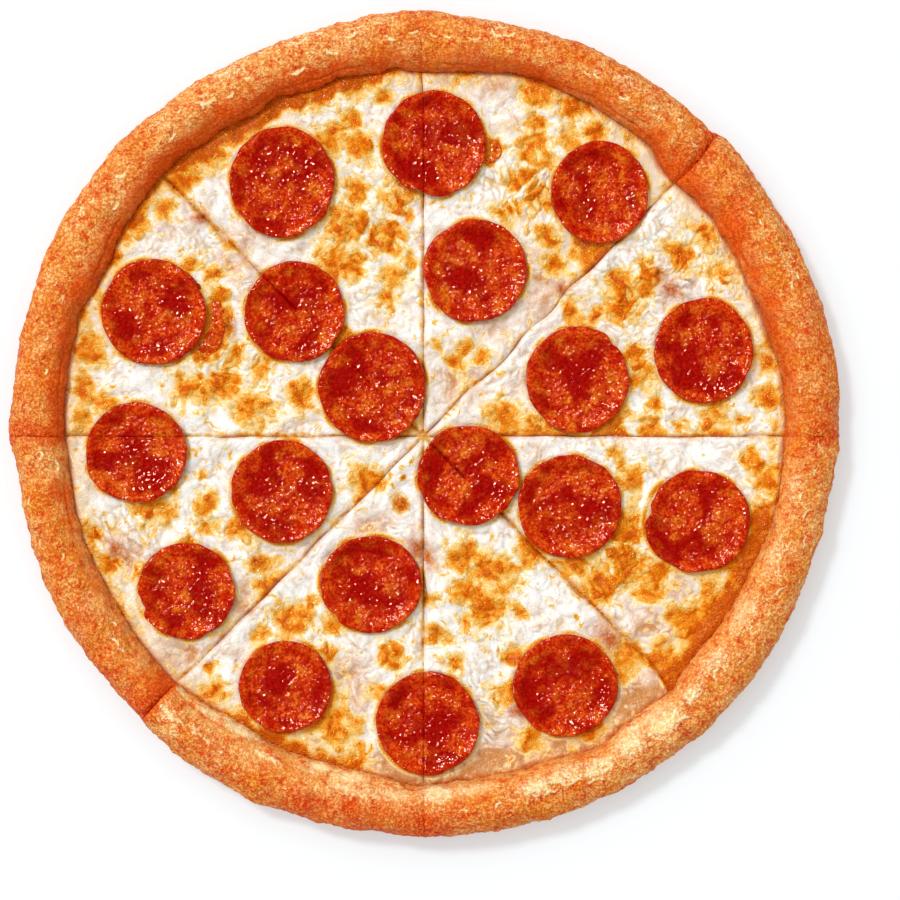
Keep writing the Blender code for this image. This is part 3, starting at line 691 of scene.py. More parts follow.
# The cheese: grated mozzarella, melted and baked brown in the oven. It is white and thick on its tops and
# beige in creases, low spots and beside the pepperoni and the rim, where the beige is painted shade; pinkish
# where it is thin over the sauce, and gold where it blistered and its fat pooled. The cutter drew it down
# along the cuts;
# the edges it pushed up face the lamp and are painted white as light, and those turned from it gold as shade.
CHEESE_BOTTOM, CHEESE_TOP, CHEESE_BY_RIM = 8.1, 11.2, 9.4
CHEESE_CELL = 0.4
CHEESE_REACH = 133.4
HEAP_SIZE = 15
# Golden patches of each slice: x, y and how far they spread from there
GOLDEN = (
    ((92.7, 61.8, 4.6), (102, 69, 4.2), (70, 52, 4.0), (82, 54, 5.0), (81, 49, 4.0), (71, 44, 6.4),
     (54, 39.5, 3.6), (62, 40.5, 3.2), (29, 2, 6.0), (40.5, -1, 5.4), (46, -1.2, 4.4), (76, 26, 3.8),
     (79, 19, 3.6), (84, 7, 3.6), (92.7, 0.5, 2.2), (106, 2, 5.4), (115, 2.6, 2.8), (69, -1.4, 5.6),
     (82, -2.4, 4.0), (125, 22, 3.0), (124, 10.5, 3.6), (108, 56, 4.6)),
    ((40.5, 123, 5.4), (53, 115, 4.0), (41.6, 109.5, 3.2), (40.5, 101, 6.2), (53, 104, 4.8),
     (62.4, 106.4, 3.2), (32, 89.6, 3.0), (37, 90.7, 2.6), (42.7, 82.4, 5.0), (30, 77.3, 4.4),
     (40.5, 73, 2.6), (44.8, 69, 3.8), (47.8, 58.4, 3.8), (59.5, 63.5, 5.6), (76, 71, 5.0),
     (5, 29.3, 2.6), (11.5, 23.5, 3.2), (15, 28.4, 2.4), (20, 24, 2.8), (5.4, 51, 2.0)),
    ((-38.5, 118, 3.2), (-26.5, 124, 5.0), (-14.5, 119, 3.4), (-26.5, 111, 4.0), (-33, 104, 4.6),
     (-23, 101, 5.4), (-69, 105, 4.6), (-77, 99, 5.8), (-86, 91, 4.8), (-25, 85.6, 4.8),
     (-13.5, 82.4, 5.8), (-26, 71, 7.0), (-14.5, 66.7, 6.2), (-32, 60.5, 6.4), (-26, 57.3, 5.4),
     (-11.5, 54, 4.8), (-13.5, 46, 4.0), (-29, 31, 3.0), (-6, 76, 2.4), (-5, 60, 3.0)),
    ((-95, 77.6, 3.0), (-85.6, 58, 4.0), (-77, 54.4, 3.4), (-122, 28, 5.4), (-68, 26, 4.0),
     (-59.5, 20, 3.8), (-72, 15.5, 6.0), (-86.5, 12.5, 6.6), (-60.5, 6, 6.6), (-45, 10, 5.4),
     (-124, 12.5, 4.6), (-118, 8, 4.4), (-124, 2, 3.0), (-104, 75, 4.4), (-113, 60, 3.2), (-75, 46, 3.0)),
    ((-97.5, -32, 5.4), (-78.7, -36.4, 3.8), (-79.2, -29, 3.4), (-67.2, -38.4, 3.6), (-21.8, -20.8, 6.2),
     (-58.4, -50, 4.0), (-55.2, -58.4, 4.6), (-123, -39.5, 3.2), (-114.7, -51, 3.2), (-81, -18.4, 2.0),
     (-105, -53, 2.6), (-85, -44, 2.4)),
    ((-15, -22.7, 3.0), (-7.8, -19, 1.4), (-46.9, -71.8, 6.8), (-59.4, -77, 3.6), (-34.4, -73, 4.0),
     (-40.5, -64.5, 3.6), (-77, -98, 4.8), (-78.2, -88.5, 2.2), (-34.4, -109.4, 7.6), (-26, -122, 5.6),
     (-16.5, -97, 3.4), (-12.5, -84.4, 4.0), (-35.5, -82.4, 3.2), (-9.3, -29, 2.2)),
    ((3, -63.4, 3.4), (5.2, -77, 4.0), (15.5, -47.8, 5.2), (25, -54, 7.4), (13.5, -60.4, 4.0),
     (20, -62.3, 3.4), (22.7, -68.7, 5.6), (14.4, -71.8, 3.2), (35.4, -68.7, 3.0), (37.4, -46.7, 4.8),
     (29, -98, 4.0), (32, -84.4, 3.2), (38.4, -114.7, 4.2), (11.8, -87, 3.2), (74, -86.4, 5.4),
     (60, -112, 4.0)),
    ((69.3, -10.7, 3.4), (75, -18.7, 5.2), (55, -50, 4.6), (73.6, -38, 6.0), (74, -52, 8.6),
     (85.4, -55, 4.8), (81.3, -61.5, 4.0), (65.6, -59.5, 5.4), (118.7, -12.4, 3.2), (121, -15.5, 3.0),
     (124, -20.8, 4.0), (106.4, -67.7, 9.0), (100, -76, 8.0), (118.7, -51, 6.4), (123, -33.3, 4.8),
     (86.4, -85.4, 6.4), (92, -70, 4.0)),
)
# Thin places where the sauce below tints the cheese: x, y and spread
BLUSH = (
    (-17.5, -125, 4.5), (-6, -126, 5), (11, -125, 5.5), (22, -124, 5), (32.6, -121, 6), (44, -118, 6),
    (53, -113, 6), (64, -108, 5), (72, -103, 5), (-50, -117, 4), (-30, -124, 4), (8, 128, 4),
    (-8, 127, 3), (26, 124, 4), (43.6, 52, 10), (13.5, 17.5, 8), (-63, 72, 6), (-28, -90, 5),
    (-24, -98, 5), (-65.6, -63.5, 6), (-87.4, -83.4, 7), (92.7, -60.4, 5), (84.4, -74, 8), (80, -98, 8),
    (38.4, -120, 9), (-39.5, -116, 7), (-114, 45, 6), (-19, -38, 5), (-108, -49, 5), (24, 40, 7),
    (-3, -49, 5), (68, -78, 6), (-82, 38, 5), (-70, 58, 5), (104, -28, 4),
)
# Specks where the sauce shows through: x, y and spread
SAUCE_SPECKS = (
    (-81.3, 75, 2.2), (-112.5, -44.8, 2.4), (-9.3, -29, 1.5), (-3, -44.8, 2.6), (1.2, -49, 2.0),
    (67.7, -78, 3.0), (90.7, 49, 2.4), (85.4, 54.4, 2.0), (-60.4, -49, 1.6), (-83, 30, 1.8),
    (-72, 36, 2.2), (57, 68, 1.8), (49.6, 49, 2.0), (-8.5, 88, 1.4), (34, -104, 2.2),
)
# Where the cheese kept the form of its crumbs: x, y and spread
CURDS = ((38, 84, 13), (84, 56, 16), (80, 28, 13), (66, 14, 10), (-20, 74, 12), (72, -52, 12), (112, 60, 12),
         (-72, 22, 12), (20, -100, 10), (-110, -42, 12), (20, -112, 8), (100, 10, 9))

# Slices of pepperoni: name, middle x and y, width along X and depth along Y
PEPPERONI = (
    ("pepperoni_01", -51.7, 88.0, 38.6, 41.0),
    ("pepperoni_02", 3.5, 102.1, 38.2, 39.2),
    ("pepperoni_03", 63.7, 84.4, 35.8, 37.6),
    ("pepperoni_04", 18.6, 55.8, 38.0, 37.8),
    ("pepperoni_05", -98.4, 40.6, 38.4, 38.6),
    ("pepperoni_06", -47.3, 40.9, 37.0, 37.2),
    ("pepperoni_07", -18.8, 13.6, 39.6, 40.2),
    ("pepperoni_08", 55.7, 16.5, 37.6, 39.2),
    ("pepperoni_09", 101.6, 26.7, 36.0, 38.8),
    ("pepperoni_10", -104.7, -10.4, 37.6, 36.8),
    ("pepperoni_11", -51.7, -24.5, 37.2, 38.0),
    ("pepperoni_12", 15.9, -18.5, 37.0, 37.2),
    ("pepperoni_13", 52.8, -29.8, 38.4, 38.2),
    ("pepperoni_14", 99.1, -35.4, 39.0, 37.2),
    ("pepperoni_15", -86.5, -60.4, 36.0, 35.0),
    ("pepperoni_16", -19.3, -58.1, 37.2, 35.6),
    ("pepperoni_17", -50.5, -95.4, 34.4, 34.0),
    ("pepperoni_18", 1.2, -108.7, 37.4, 38.0),
    ("pepperoni_19", 51.2, -94.9, 38.6, 37.6),
)
TUCKED = (
    ("pepperoni_02_under", 22.0, 99.6, 13.0, 9.5),
    ("pepperoni_05_under", -90.4, 37.4, 36.4, 36.6),
)
# Where the tucked ones show, because the cheese is thin there: x, y and spread
BARED = ((22.5, 99.5, 3.4), (-75.5, 38.5, 3.4), (-80.5, 29.5, 4.0))
COVER_REACH = 20

# Beside the rim: bearing in degrees and how golden the cheese is there
WALL_GOLD = (
    (0, 0.7), (12, 0.7), (20, 0.2), (40, 0.1), (53, 0.6), (60, 0.4), (65, 0.8), (72, 0.9), (78, 0.4),
    (86, 0.6), (93, 0.6), (98, 1.2), (103, 1.6), (125, 1.7), (133, 1.4), (137, 0.5), (142, 1.0),
    (150, 0.8), (158, 0.8), (165, 0.7), (172, 0.3), (180, 0.1), (190, 0.1), (200, 0.6), (212, 0.6),
    (222, 0.1), (228, 0.1), (232, 0.6), (240, 1.1), (245, 1.3), (255, 1.2), (262, 0.7), (268, 0.1),
    (280, 0.3), (288, 0.6), (300, 0.6), (306, 0.4), (312, 0.3), (315, 1.5), (330, 1.7), (344, 1.4),
    (347, 0.5), (353, 0.8),
)


def outline_radius(disc, bearing):
    """How far a slice of pepperoni reaches from its middle, as its solid does."""
    name, _, _, width, depth = disc
    half_width, half_depth = width / 2, depth / 2
    oval = half_width * half_depth / np.hypot(half_depth * np.cos(bearing), half_width * np.sin(bearing))
    return oval * (1 + 0.02 * (swell(bearing, 9, 5.3 * int(name.split("_")[1])) - 0.5))


def beyond_discs(x, y):
    """How far each point is outside the nearest slice of pepperoni, and the bearing that it is seen at."""
    nearest, seen_at = np.full(x.shape, np.inf), np.zeros(x.shape)
    for disc in PEPPERONI:
        away_x, away_y = x - disc[1], y - disc[2]
        bearing = np.arctan2(away_y, away_x)
        close = np.hypot(away_x, away_y) < 34
        beyond = np.full(x.shape, np.inf)
        rounded = np.round(bearing[close], 2)
        beyond[close] = np.hypot(away_x, away_y)[close] - outline_radius(disc, rounded)
        seen_at = np.where(beyond < nearest, bearing, seen_at)
        nearest = np.minimum(nearest, beyond)
    return nearest, seen_at


def spread_of(patches, x, y):
    """How much each point lies in one of the patches, from 0 to 1."""
    total = np.zeros(x.shape)
    for patch_x, patch_y, size in patches:
        away = (x - patch_x) ** 2 + (y - patch_y) ** 2
        total = np.maximum(total, np.exp(-away / size**2 / 2))
    return total


def plain_cheese():
    """A flat wedge of fine cells, cut out of a grid, with walls and a floor."""
    bpy.ops.object.select_all(action="DESELECT")
    length = math.ceil(CHEESE_REACH / CHEESE_CELL) * CHEESE_CELL
    middle = Vector((CUT_X + length / 2, CUT_Y + length / 2, CHEESE_TOP)) * MM
    cells = round(length / CHEESE_CELL)
    size = length * MM
    bpy.ops.mesh.primitive_grid_add(x_subdivisions=cells, y_subdivisions=cells, size=size, location=middle)
    wedge = bpy.context.object
    bpy.ops.object.transform_apply(location=True, rotation=False, scale=False)
    edit_only(wedge)
    bpy.ops.mesh.select_all(action="SELECT")
    side = (-math.sin(EIGHTH), math.cos(EIGHTH), 0)
    bpy.ops.mesh.bisect(plane_co=(CUT_X * MM, CUT_Y * MM, 0), plane_no=side, clear_outer=True, threshold=1e-7)
    bpy.ops.object.mode_set(mode="OBJECT")
    centres = np.zeros(len(wedge.data.polygons) * 3)
    wedge.data.polygons.foreach_get("center", centres)
    far = np.hypot(centres[0::3] / MM - CUT_X, centres[1::3] / MM - CUT_Y) > CHEESE_REACH
    bpy.ops.object.mode_set(mode="EDIT")
    pick(wedge, far, "FACE")
    bpy.ops.mesh.delete(type="FACE")
    bpy.ops.mesh.select_mode(type="EDGE")
    bpy.ops.mesh.select_non_manifold()
    fall = (0, 0, (CHEESE_BOTTOM - CHEESE_TOP) * MM)
    bpy.ops.mesh.extrude_edges_move(TRANSFORM_OT_translate={"value": fall})
    bpy.ops.mesh.edge_face_add()
    bpy.ops.mesh.select_all(action="SELECT")
    bpy.ops.mesh.normals_make_consistent(inside=False)
    bpy.ops.object.mode_set(mode="OBJECT")
    return wedge


def bubbles(x, y, wave, seed, common, size):
    """Round blisters: a dome on each of the scattered spots that are common enough, from 0 to 1."""
    away_x, away_y, chance, _ = nearest_spot(x, y, wave, seed)
    own_size = size * (0.55 + 0.9 * (chance / common))
    return np.where(chance < common, np.sqrt(np.clip(1 - (away_x**2 + away_y**2) / own_size**2, 0, 1)), 0)


def shreds(x, y, wave, long, seed):
    """Shreds in heaps, each lying its own way: a point's depth in its shred, and the shred's draw."""
    heap_x, heap_y, heap, _ = nearest_spot(x, y, HEAP_SIZE, seed)
    turn = heap * math.tau
    along = heap_x * np.cos(turn) + heap_y * np.sin(turn)
    across = heap_y * np.cos(turn) - heap_x * np.sin(turn)
    _, _, own, depth = nearest_spot(along / long + 300 * heap, across, wave, seed + 1)
    return depth, own


def cut_edges(index, share, radius, x, y):
    """Along the cuts: where the cheese is painted white as light on sides facing the lamp, its rise or fall,
    where it is shaded, and how near.
    """
    sides = (index * EIGHTH - math.pi / 2, (index + 1) * EIGHTH + math.pi / 2)
    distances = (radius * np.sin(share * EIGHTH), radius * np.sin((1 - share) * EIGHTH))
    white, rise, shaded = np.zeros(x.shape), np.zeros(x.shape), np.zeros(x.shape)
    uneven = 1 + 0.8 * waver(x, y, 11, 55)
    patchy = smooth(-0.7, 0.4, waver(x, y, 14, 56))
    for side, distance in zip(sides, distances):
        light = max(0, math.cos(side - LIGHT_BEARING))
        # Painted light: the cut side that faces the lamp is made white
        white = np.maximum(white, light * patchy * fade(distance, 3.6 * uneven))
        rise += 0.75 * light * patchy * uneven * fade(distance - 2.0, 2.4 * uneven)
        rise -= (1.3 - 0.3 * light) * uneven * fade(distance, 0.7)
        rise -= 0.8 * (1 - light) * np.exp(-distance / 2.5)
        # Painted shade: the cut side turned from the lamp, later made gold and sauce-coloured
        shaded = np.maximum(shaded, (1 - light) * fade(distance, 2.0 * uneven))
    return white, rise, shaded, np.minimum(*distances)


def survey_cheese(index, share, radius):
    """What each point of a slice's cheese is near, and how much of each kind of cheese is there."""
    at = SimpleNamespace()
    at.x, at.y = x, y = laid_out(index, share, radius)
    at.bent_x = x + 1.9 * waver(x, y, 9, 51) + 0.8 * waver(x, y, 3.6, 53)
    at.bent_y = y + 1.9 * waver(x, y, 9, 52) + 0.8 * waver(x, y, 3.6, 54)
    at.from_rim = rim_at(x, y)[1] - radius
    at.beyond, seen_at = beyond_discs(x, y)
    at.white_edge, at.edge_rise, at.shaded_edge, at.from_cut = cut_edges(index, share, radius, x, y)

    at.curd = smooth(0.2, 0.9, spread_of(CURDS, at.bent_x, at.bent_y) + 0.3 * waver(x, y, 12, 64))
    at.lumpy = np.clip(0.12 + 0.4 * smooth(-0.2, 0.8, waver(x, y, 17, 89)) + 0.6 * at.curd, 0, 1)
    at.depth, at.own = shreds(at.bent_x, at.bent_y, 2.7, 2.0, 65)
    at.crumb_depth, at.crumb_own = shreds(at.bent_x + 40, at.bent_y, 1.5, 1.3, 67)
    at.lump = smooth(-0.5, 1.7, at.depth) * (0.5 + at.own)
    at.wrinkle = fade(waver(at.bent_x, at.bent_y, 4.4, 106), 0.15) * smooth(-0.5, 0.4, waver(x, y, 9, 107))

    bearing = np.degrees(np.arctan2(y, x)) % 360
    at.by_wall = np.interp(bearing, *zip(*WALL_GOLD), period=360) * fade(at.from_rim, 6.5)
    # Painted shade: amber round each slice of pepperoni, strongest on its lower right, the side turned from
    # the lamp
    ring = fade(at.beyond - 0.6, 1.6) * np.clip(0.25 + 0.6 * np.cos(seen_at + math.pi / 4), 0, 1)
    golden = spread_of(GOLDEN[index], at.bent_x, at.bent_y) + 0.16 * waver(at.bent_x, at.bent_y, 4.6, 61)
    golden = golden + 0.2 * waver(x, y, 15, 63) - 0.5 * at.white_edge
    golden = np.maximum(golden, at.by_wall * (0.65 + 0.8 * waver(x, y, 6, 68)))
    # Painted shade as gold: round the pepperoni and on cut sides turned from the lamp
    golden += 0.4 * ring + 0.45 * at.shaded_edge
    at.golden, at.melted = golden, smooth(0.2, 0.75, golden)
    half_x, half_y = (x + at.bent_x) / 2, (y + at.bent_y) / 2
    at.big_bubbles = bubbles(half_x, half_y, 8.0, 71, 0.7, 2.2) * smooth(0.12, 0.45, golden)
    at.small_bubbles = bubbles(x, y, 3.4, 72, 0.75, 1.15) * smooth(0.1, 0.5, golden)
    at.pores = bubbles(x, y, 5.2, 73, 0.3, 0.6) * (1 - at.melted)

    blush = spread_of(BLUSH, at.bent_x, at.bent_y) * (0.8 + 0.5 * waver(x, y, 5, 70))
    blush += 0.3 * smooth(0.1, 0.9, waver(x, y, 20, 69))
    at.thin_wall = smooth(258, 272, bearing) * (1 - smooth(306, 313, bearing)) * fade(at.from_rim, 9)
    at.blush = np.clip(blush + 1.2 * at.thin_wall, 0, 1)
    at.bared = spread_of(BARED, at.bent_x, at.bent_y) * (1 + 0.7 * waver(x, y, 2.6, 111))
    return at


def cheese_height(at):
    """The height of the cheese's top, from what the survey found at each point."""
    x, y, bent_x, bent_y = at.x, at.y, at.bent_x, at.bent_y
    crumb = smooth(-0.3, 1.0, at.crumb_depth) * (0.5 + at.crumb_own)
    relief = 1.3 * waver(x, y, 16, 81) + 1.0 * waver(bent_x, bent_y, 7, 82) - 0.5 * at.blush
    crumbs = 1.3 * (at.lump - 0.6) + (0.2 + 0.4 * at.curd) * (crumb - 0.6)
    relief += at.lumpy * (1 - 0.3 * at.melted) * crumbs
    relief += 0.25 * waver(bent_x, bent_y, 3.2, 84) - 0.14 * at.wrinkle * (1 - at.melted)
    relief += 0.8 * at.big_bubbles + 0.6 * at.small_bubbles - 0.5 * at.melted - 0.45 * at.pores
    relief += 0.08 * waver(x, y, 1.3, 85)
    tucked_x, tucked_y = TUCKED[1][1:3]
    cover = np.exp(-((np.hypot(x - tucked_x, y - tucked_y) / COVER_REACH) ** 8)) * (1 - at.bared)
    relief += 0.9 * cover - 0.8 * at.bared
    free = smooth(0.2, 4.0, at.beyond)
    relief = free * (relief + at.edge_rise) + (1 - free) * np.minimum(at.edge_rise, 0)
    hug = 0.6 * fade(at.beyond - 0.8, 1.4) * (0.5 + 0.5 * waver(x, y, 9, 92))
    height = CHEESE_TOP + relief + hug
    by_rim = CHEESE_BY_RIM + (height - CHEESE_BY_RIM) * smooth(-1.0, 2.6, at.from_rim)
    return np.where(at.from_rim < 3, by_rim, height)


def cheese_creases(at):
    """The creases between shreds and between crumbs."""
    x, y = at.x, at.y
    crease = at.lumpy * fade(at.depth, 0.5) * smooth(-0.7, 0.5, waver(x, y, 6, 94))
    crumb_crease = at.lumpy * fade(at.crumb_depth, 0.3) * smooth(-0.3, 0.7, waver(x, y, 5, 95))
    return np.maximum(crease, 0.7 * crumb_crease)


def cheese_gold(at, crease):
    """How golden the cheese is: in patches and threads, on blisters, by the rim and the pepperoni, with
    painted shade as gold beside the pepperoni and on shaded cut sides.
    """
    x, y, bent_x, bent_y = at.x, at.y, at.bent_x, at.bent_y
    shown = at.golden + (0.28 + 0.3 * at.curd) * (at.own - 0.5) + 0.16 * (at.crumb_own - 0.5)
    uneven = 1 + 0.4 * waver(bent_x, bent_y, 3.2, 97)
    gold = 0.58 * smooth(0.22, 1.0, shown) * uneven + 0.30 * crease * smooth(-0.1, 0.4, at.golden)
    gold += 0.25 * smooth(0.6, 1.2, shown + 0.3 * waver(bent_x, bent_y, 2.2, 109))
    gold += 0.4 * at.big_bubbles * (1.1 - at.big_bubbles) + 0.3 * at.pores
    gold += 0.45 * at.small_bubbles * (1.2 - at.small_bubbles)
    gold += 0.42 * smooth(0.6, 1.3, at.by_wall + 0.35 * waver(bent_x, bent_y, 5, 108))
    oily_ring = fade(at.beyond - 0.1, 1.1) * smooth(-0.4, 0.6, waver(x, y, 9, 100))
    gold = np.maximum(gold, 0.85 * oily_ring) + 0.14 * (1 - at.blush) * fade(at.from_rim, 8)
    gold = np.maximum(gold, 0.8 * smooth(0.04, 0.35, at.bared))
    threads = fade(waver(bent_x, bent_y, 3.2, 102), 0.17) * smooth(0.2, 0.7, waver(x, y, 5, 103))
    return np.maximum(gold, 0.72 * threads * (0.75 + 0.6 * waver(x, y, 2.5, 110)))


def cheese_sauce_and_shade(at):
    """How much sauce colour the cheese takes: sauce showing in specks, by the rim, at the cuts and round a
    tucked slice, and painted shade at the rim's foot, along the cut lines and on cut sides turned from the
    lamp.
    """
    x, y, bent_x, bent_y = at.x, at.y, at.bent_x, at.bent_y
    from_rim = np.maximum(at.from_rim, 0)
    by_wall = smooth(0.7, 1.3, at.by_wall + 0.3 * waver(bent_x, bent_y, 4, 112))
    away_x, away_y, chance, _ = nearest_spot(bent_x, bent_y, 4.5, 104)
    specks = fade(np.hypot(away_x, away_y), 0.3 + 0.4 * chance) * (chance < 0.3)
    drawn_in = smooth(-0.5, 0.7, waver(x, y, 8, 98))
    return np.maximum.reduce((
        spread_of(SAUCE_SPECKS, bent_x, bent_y),
        # Partly sauce and partly painted shade, at the foot of the rim
        0.8 * fade(from_rim, 0.9 + 0.5 * waver(x, y, 5, 101)),
        # Painted shade, on cut sides turned from the lamp
        0.45 * at.shaded_edge * smooth(-0.3, 0.6, waver(x, y, 6, 96)),
        0.6 * smooth(0.15, 0.6, at.bared) * (0.8 + 0.5 * waver(x, y, 2, 114)),
        0.5 * by_wall * (0.7 + 0.6 * waver(x, y, 3, 113)),
        0.9 * specks * smooth(-0.2, 0.5, waver(x, y, 14, 105)),
        # Along each cut line: partly sauce drawn in by the cutter, partly painted shade in the gap
        0.55 * drawn_in * fade(at.from_cut, 0.5),
    ))


def cheese_whiteness_and_shade(at, crease):
    """How white the cheese is: partly its thickness, partly painted shade, from 0 in creases and beside its
    neighbours, and painted light on lit cut edges.
    """
    # Painted shade: lower in creases and low spots between lumps, higher on the tops of lumps
    whiteness_and_shade = 0.95 - 0.8 * crease + 0.5 * (at.lump - 0.7) * at.lumpy + 0.3 * waver(at.bent_x, at.bent_y, 6, 93)
    # Painted light: higher on the cut edges that face the lamp
    whiteness_and_shade += 0.3 * at.white_edge + 0.35 * waver(at.bent_x, at.bent_y, 2.3, 99)
    # Painted shade in the wrinkles, and less white where the cheese is thin by the wall
    whiteness_and_shade -= 0.4 * at.wrinkle + 0.5 * at.thin_wall
    # Painted shade: lower beside the pepperoni and at the foot of the rim, and less white towards the rim
    whiteness_and_shade -= 0.4 * fade(np.maximum(at.beyond, 0), 1.2) + 0.5 * fade(np.maximum(at.from_rim, 0), 2)
    return whiteness_and_shade - 0.3 * fade(at.from_rim, 7)


def shape_cheese(piece, index):
    """Gives the cheese of a slice its lumps, pools, blisters and edges, and marks its colours."""
    flat_x, flat_y, z = points_of(piece.data)
    at = survey_cheese(index, *share_and_radius(flat_x, flat_y))
    on_top = z > CHEESE_BOTTOM + 0.5
    height = np.maximum(cheese_height(at), CHEESE_BOTTOM + 0.4)
    put_points(piece.data, at.x, at.y, np.where(on_top, height, CHEESE_BOTTOM))
    crease = cheese_creases(at)
    put_mask(piece.data, "gold", cheese_gold(at, crease))
    put_mask(piece.data, "blush", at.blush)
    put_mask(piece.data, "sauce_and_shade", cheese_sauce_and_shade(at))
    put_mask(piece.data, "whiteness_and_shade", cheese_whiteness_and_shade(at, crease))


def cheese_material():
    """Melted mozzarella: white to cream, beige in creases and low spots as painted shade, gold and amber
    where it blistered, with fat on its surface.
    """
    glow = {"Subsurface_Weight": 0.2, "Subsurface_Scale": 0.0012}
    made, tree, shader = new_material("melted_cheese", specular=0.7, **glow)
    shader.inputs["Specular Tint"].default_value = (1.0, 0.88, 0.66, 1)
    shader.inputs["Subsurface Radius"].default_value = (1.0, 0.55, 0.3)
    grain = node(tree, "ShaderNodeGroup", {"Size": 1000.0, "Fine Share": 0.45}, node_tree=GRAIN)
    wetness = ramp(tree, mask(tree, "gold"), (0, 0.6), (0.5, 1))
    oil = node(tree, "ShaderNodeGroup", {"Ripple": 1300.0}, {"Wetness": wetness}, node_tree=OIL)
    tint = grain.outputs["Tint"]
    # Painted shade: the beige brown that creases and low spots get
    low = blend(tree, tint, (0.54, 0.28, 0.11), (0.72, 0.48, 0.26))
    high = blend(tree, tint, (0.98, 0.94, 0.87), (1.0, 0.99, 0.97))
    white = blend(tree, mask(tree, "whiteness_and_shade"), low, high)
    thin = blend(tree, tint, (0.54, 0.17, 0.03), (0.74, 0.37, 0.12))
    thin = blend(tree, ramp(tree, mask(tree, "whiteness_and_shade"), (0.75, 0), (1, 0.35)), thin, white)
    pinkish = blend(tree, mask(tree, "blush"), white, thin)
    speckle = reckon(tree, "MULTIPLY_ADD", tint, 0.10, -0.05)
    depth = reckon(tree, "SUBTRACT", mask(tree, "gold"), speckle)
    gilded = ramp(
        tree, depth, (0.0, (0.99, 0.90, 0.74)), (0.15, (0.98, 0.78, 0.43)), (0.33, (0.96, 0.60, 0.18)),
        (0.54, (0.92, 0.42, 0.04)), (0.76, (0.86, 0.25, 0.004)), (1.0, (0.68, 0.11, 0.0015)),
    )
    cheese = blend(tree, ramp(tree, depth, (0.02, 0), (0.22, 1)), pinkish, gilded)
    sauce = blend(tree, tint, (0.42, 0.05, 0.003), (0.74, 0.20, 0.012))
    # Sauce colour, which is partly painted shade
    sauced_and_shaded = blend(tree, mask(tree, "sauce_and_shade"), cheese, sauce)
    tree.links.new(sauced_and_shaded, shader.inputs["Base Color"])
    tree.links.new(oil.outputs["Roughness"], shader.inputs["Roughness"])
    fine = bump(tree, grain.outputs["Height"], 0.6, 0.6)
    ripples = blend(tree, ramp(tree, mask(tree, "gold"), (0.1, 0.2), (0.5, 1)), LEVEL, oil.outputs["Height"])
    tree.links.new(bump(tree, ripples, 0.9, 0.8, fine), shader.inputs["Normal"])
    return made


CHEESE = cheese_material()
unshaped = plain_cheese()
for index in range(SLICE_COUNT):
    cheese = copy_of(unshaped, f"melted_cheese_{index + 1}")
    shape_cheese(cheese, index)
    finish_piece(cheese, CHEESE, "cheese", f"cheese_{index + 1}")
bpy.data.objects.remove(unshaped)


# The pepperoni: thin slices of cured red sausage. In the oven they cup, wrinkle and sweat fat, so their
# raised edges shine. The cutter went right through four of them and halfway into two more, and one slice and
# one scrap lie mostly under another.
PEPPERONI_THICKNESS, PEPPERONI_CUP = 1.7, 1.8
PEPPERONI_SEAT = CHEESE_TOP - 0.3
# Of the tucked ones: how much lower they lie, how deep their cup is, and how fatty each one's face is
TUCKED_DROP, TUCKED_CUP = 1.7, 0.3
TUCKED_FAT = (1.0, 0.3)
# How deep the cutter's mark is and half of its width, where it went halfway and where it went through
SLIT_DEPTH, SLIT_HALF_WIDTH = 1.3, 0.35
MARK_DEPTH, MARK_HALF_WIDTH = 0.45, 0.3
PATTERN_RADIUS = 10.0
FLAT_SHARE = 0.955
FLAT_RINGS, EDGE_RINGS, UNDER_RINGS = 38, 8, 5
TURN_STEPS = 200
# Of those parted: bearing of the cut, then the name of each half, left and right of it, and its lift
PARTED = {
    "pepperoni_02": (90, ("left", 0.0), ("right", 0.15)),
    "pepperoni_07": (135, ("lower", 0.1), ("upper", 0.0)),
    "pepperoni_10": (180, ("lower", 0.35), ("upper", 0.0)),
    "pepperoni_18": (270, ("right", 0.3), ("left", 0.0)),
}
# Of those scored: bearing of the cut, and between which distances along it the groove lies
SCORED = {"pepperoni_06": (135, 65.4, 90), "pepperoni_12": (315, 0, 21.3)}
# Notches in an outline: bearing, depth and half of its angle
NOTCHES = {
    "pepperoni_02": ((252, 1.2, 9), (228, 0.5, 8)),
    "pepperoni_08": ((47, 0.9, 5),),
    "pepperoni_14": ((168, 1.9, 8), (150, 0.9, 16)),
    "pepperoni_15": ((203, 1.3, 5), (192, 1.3, 14)),
    "pepperoni_16": ((222, 1.0, 7),),
    "pepperoni_06": ((150, 0.7, 10),),
}


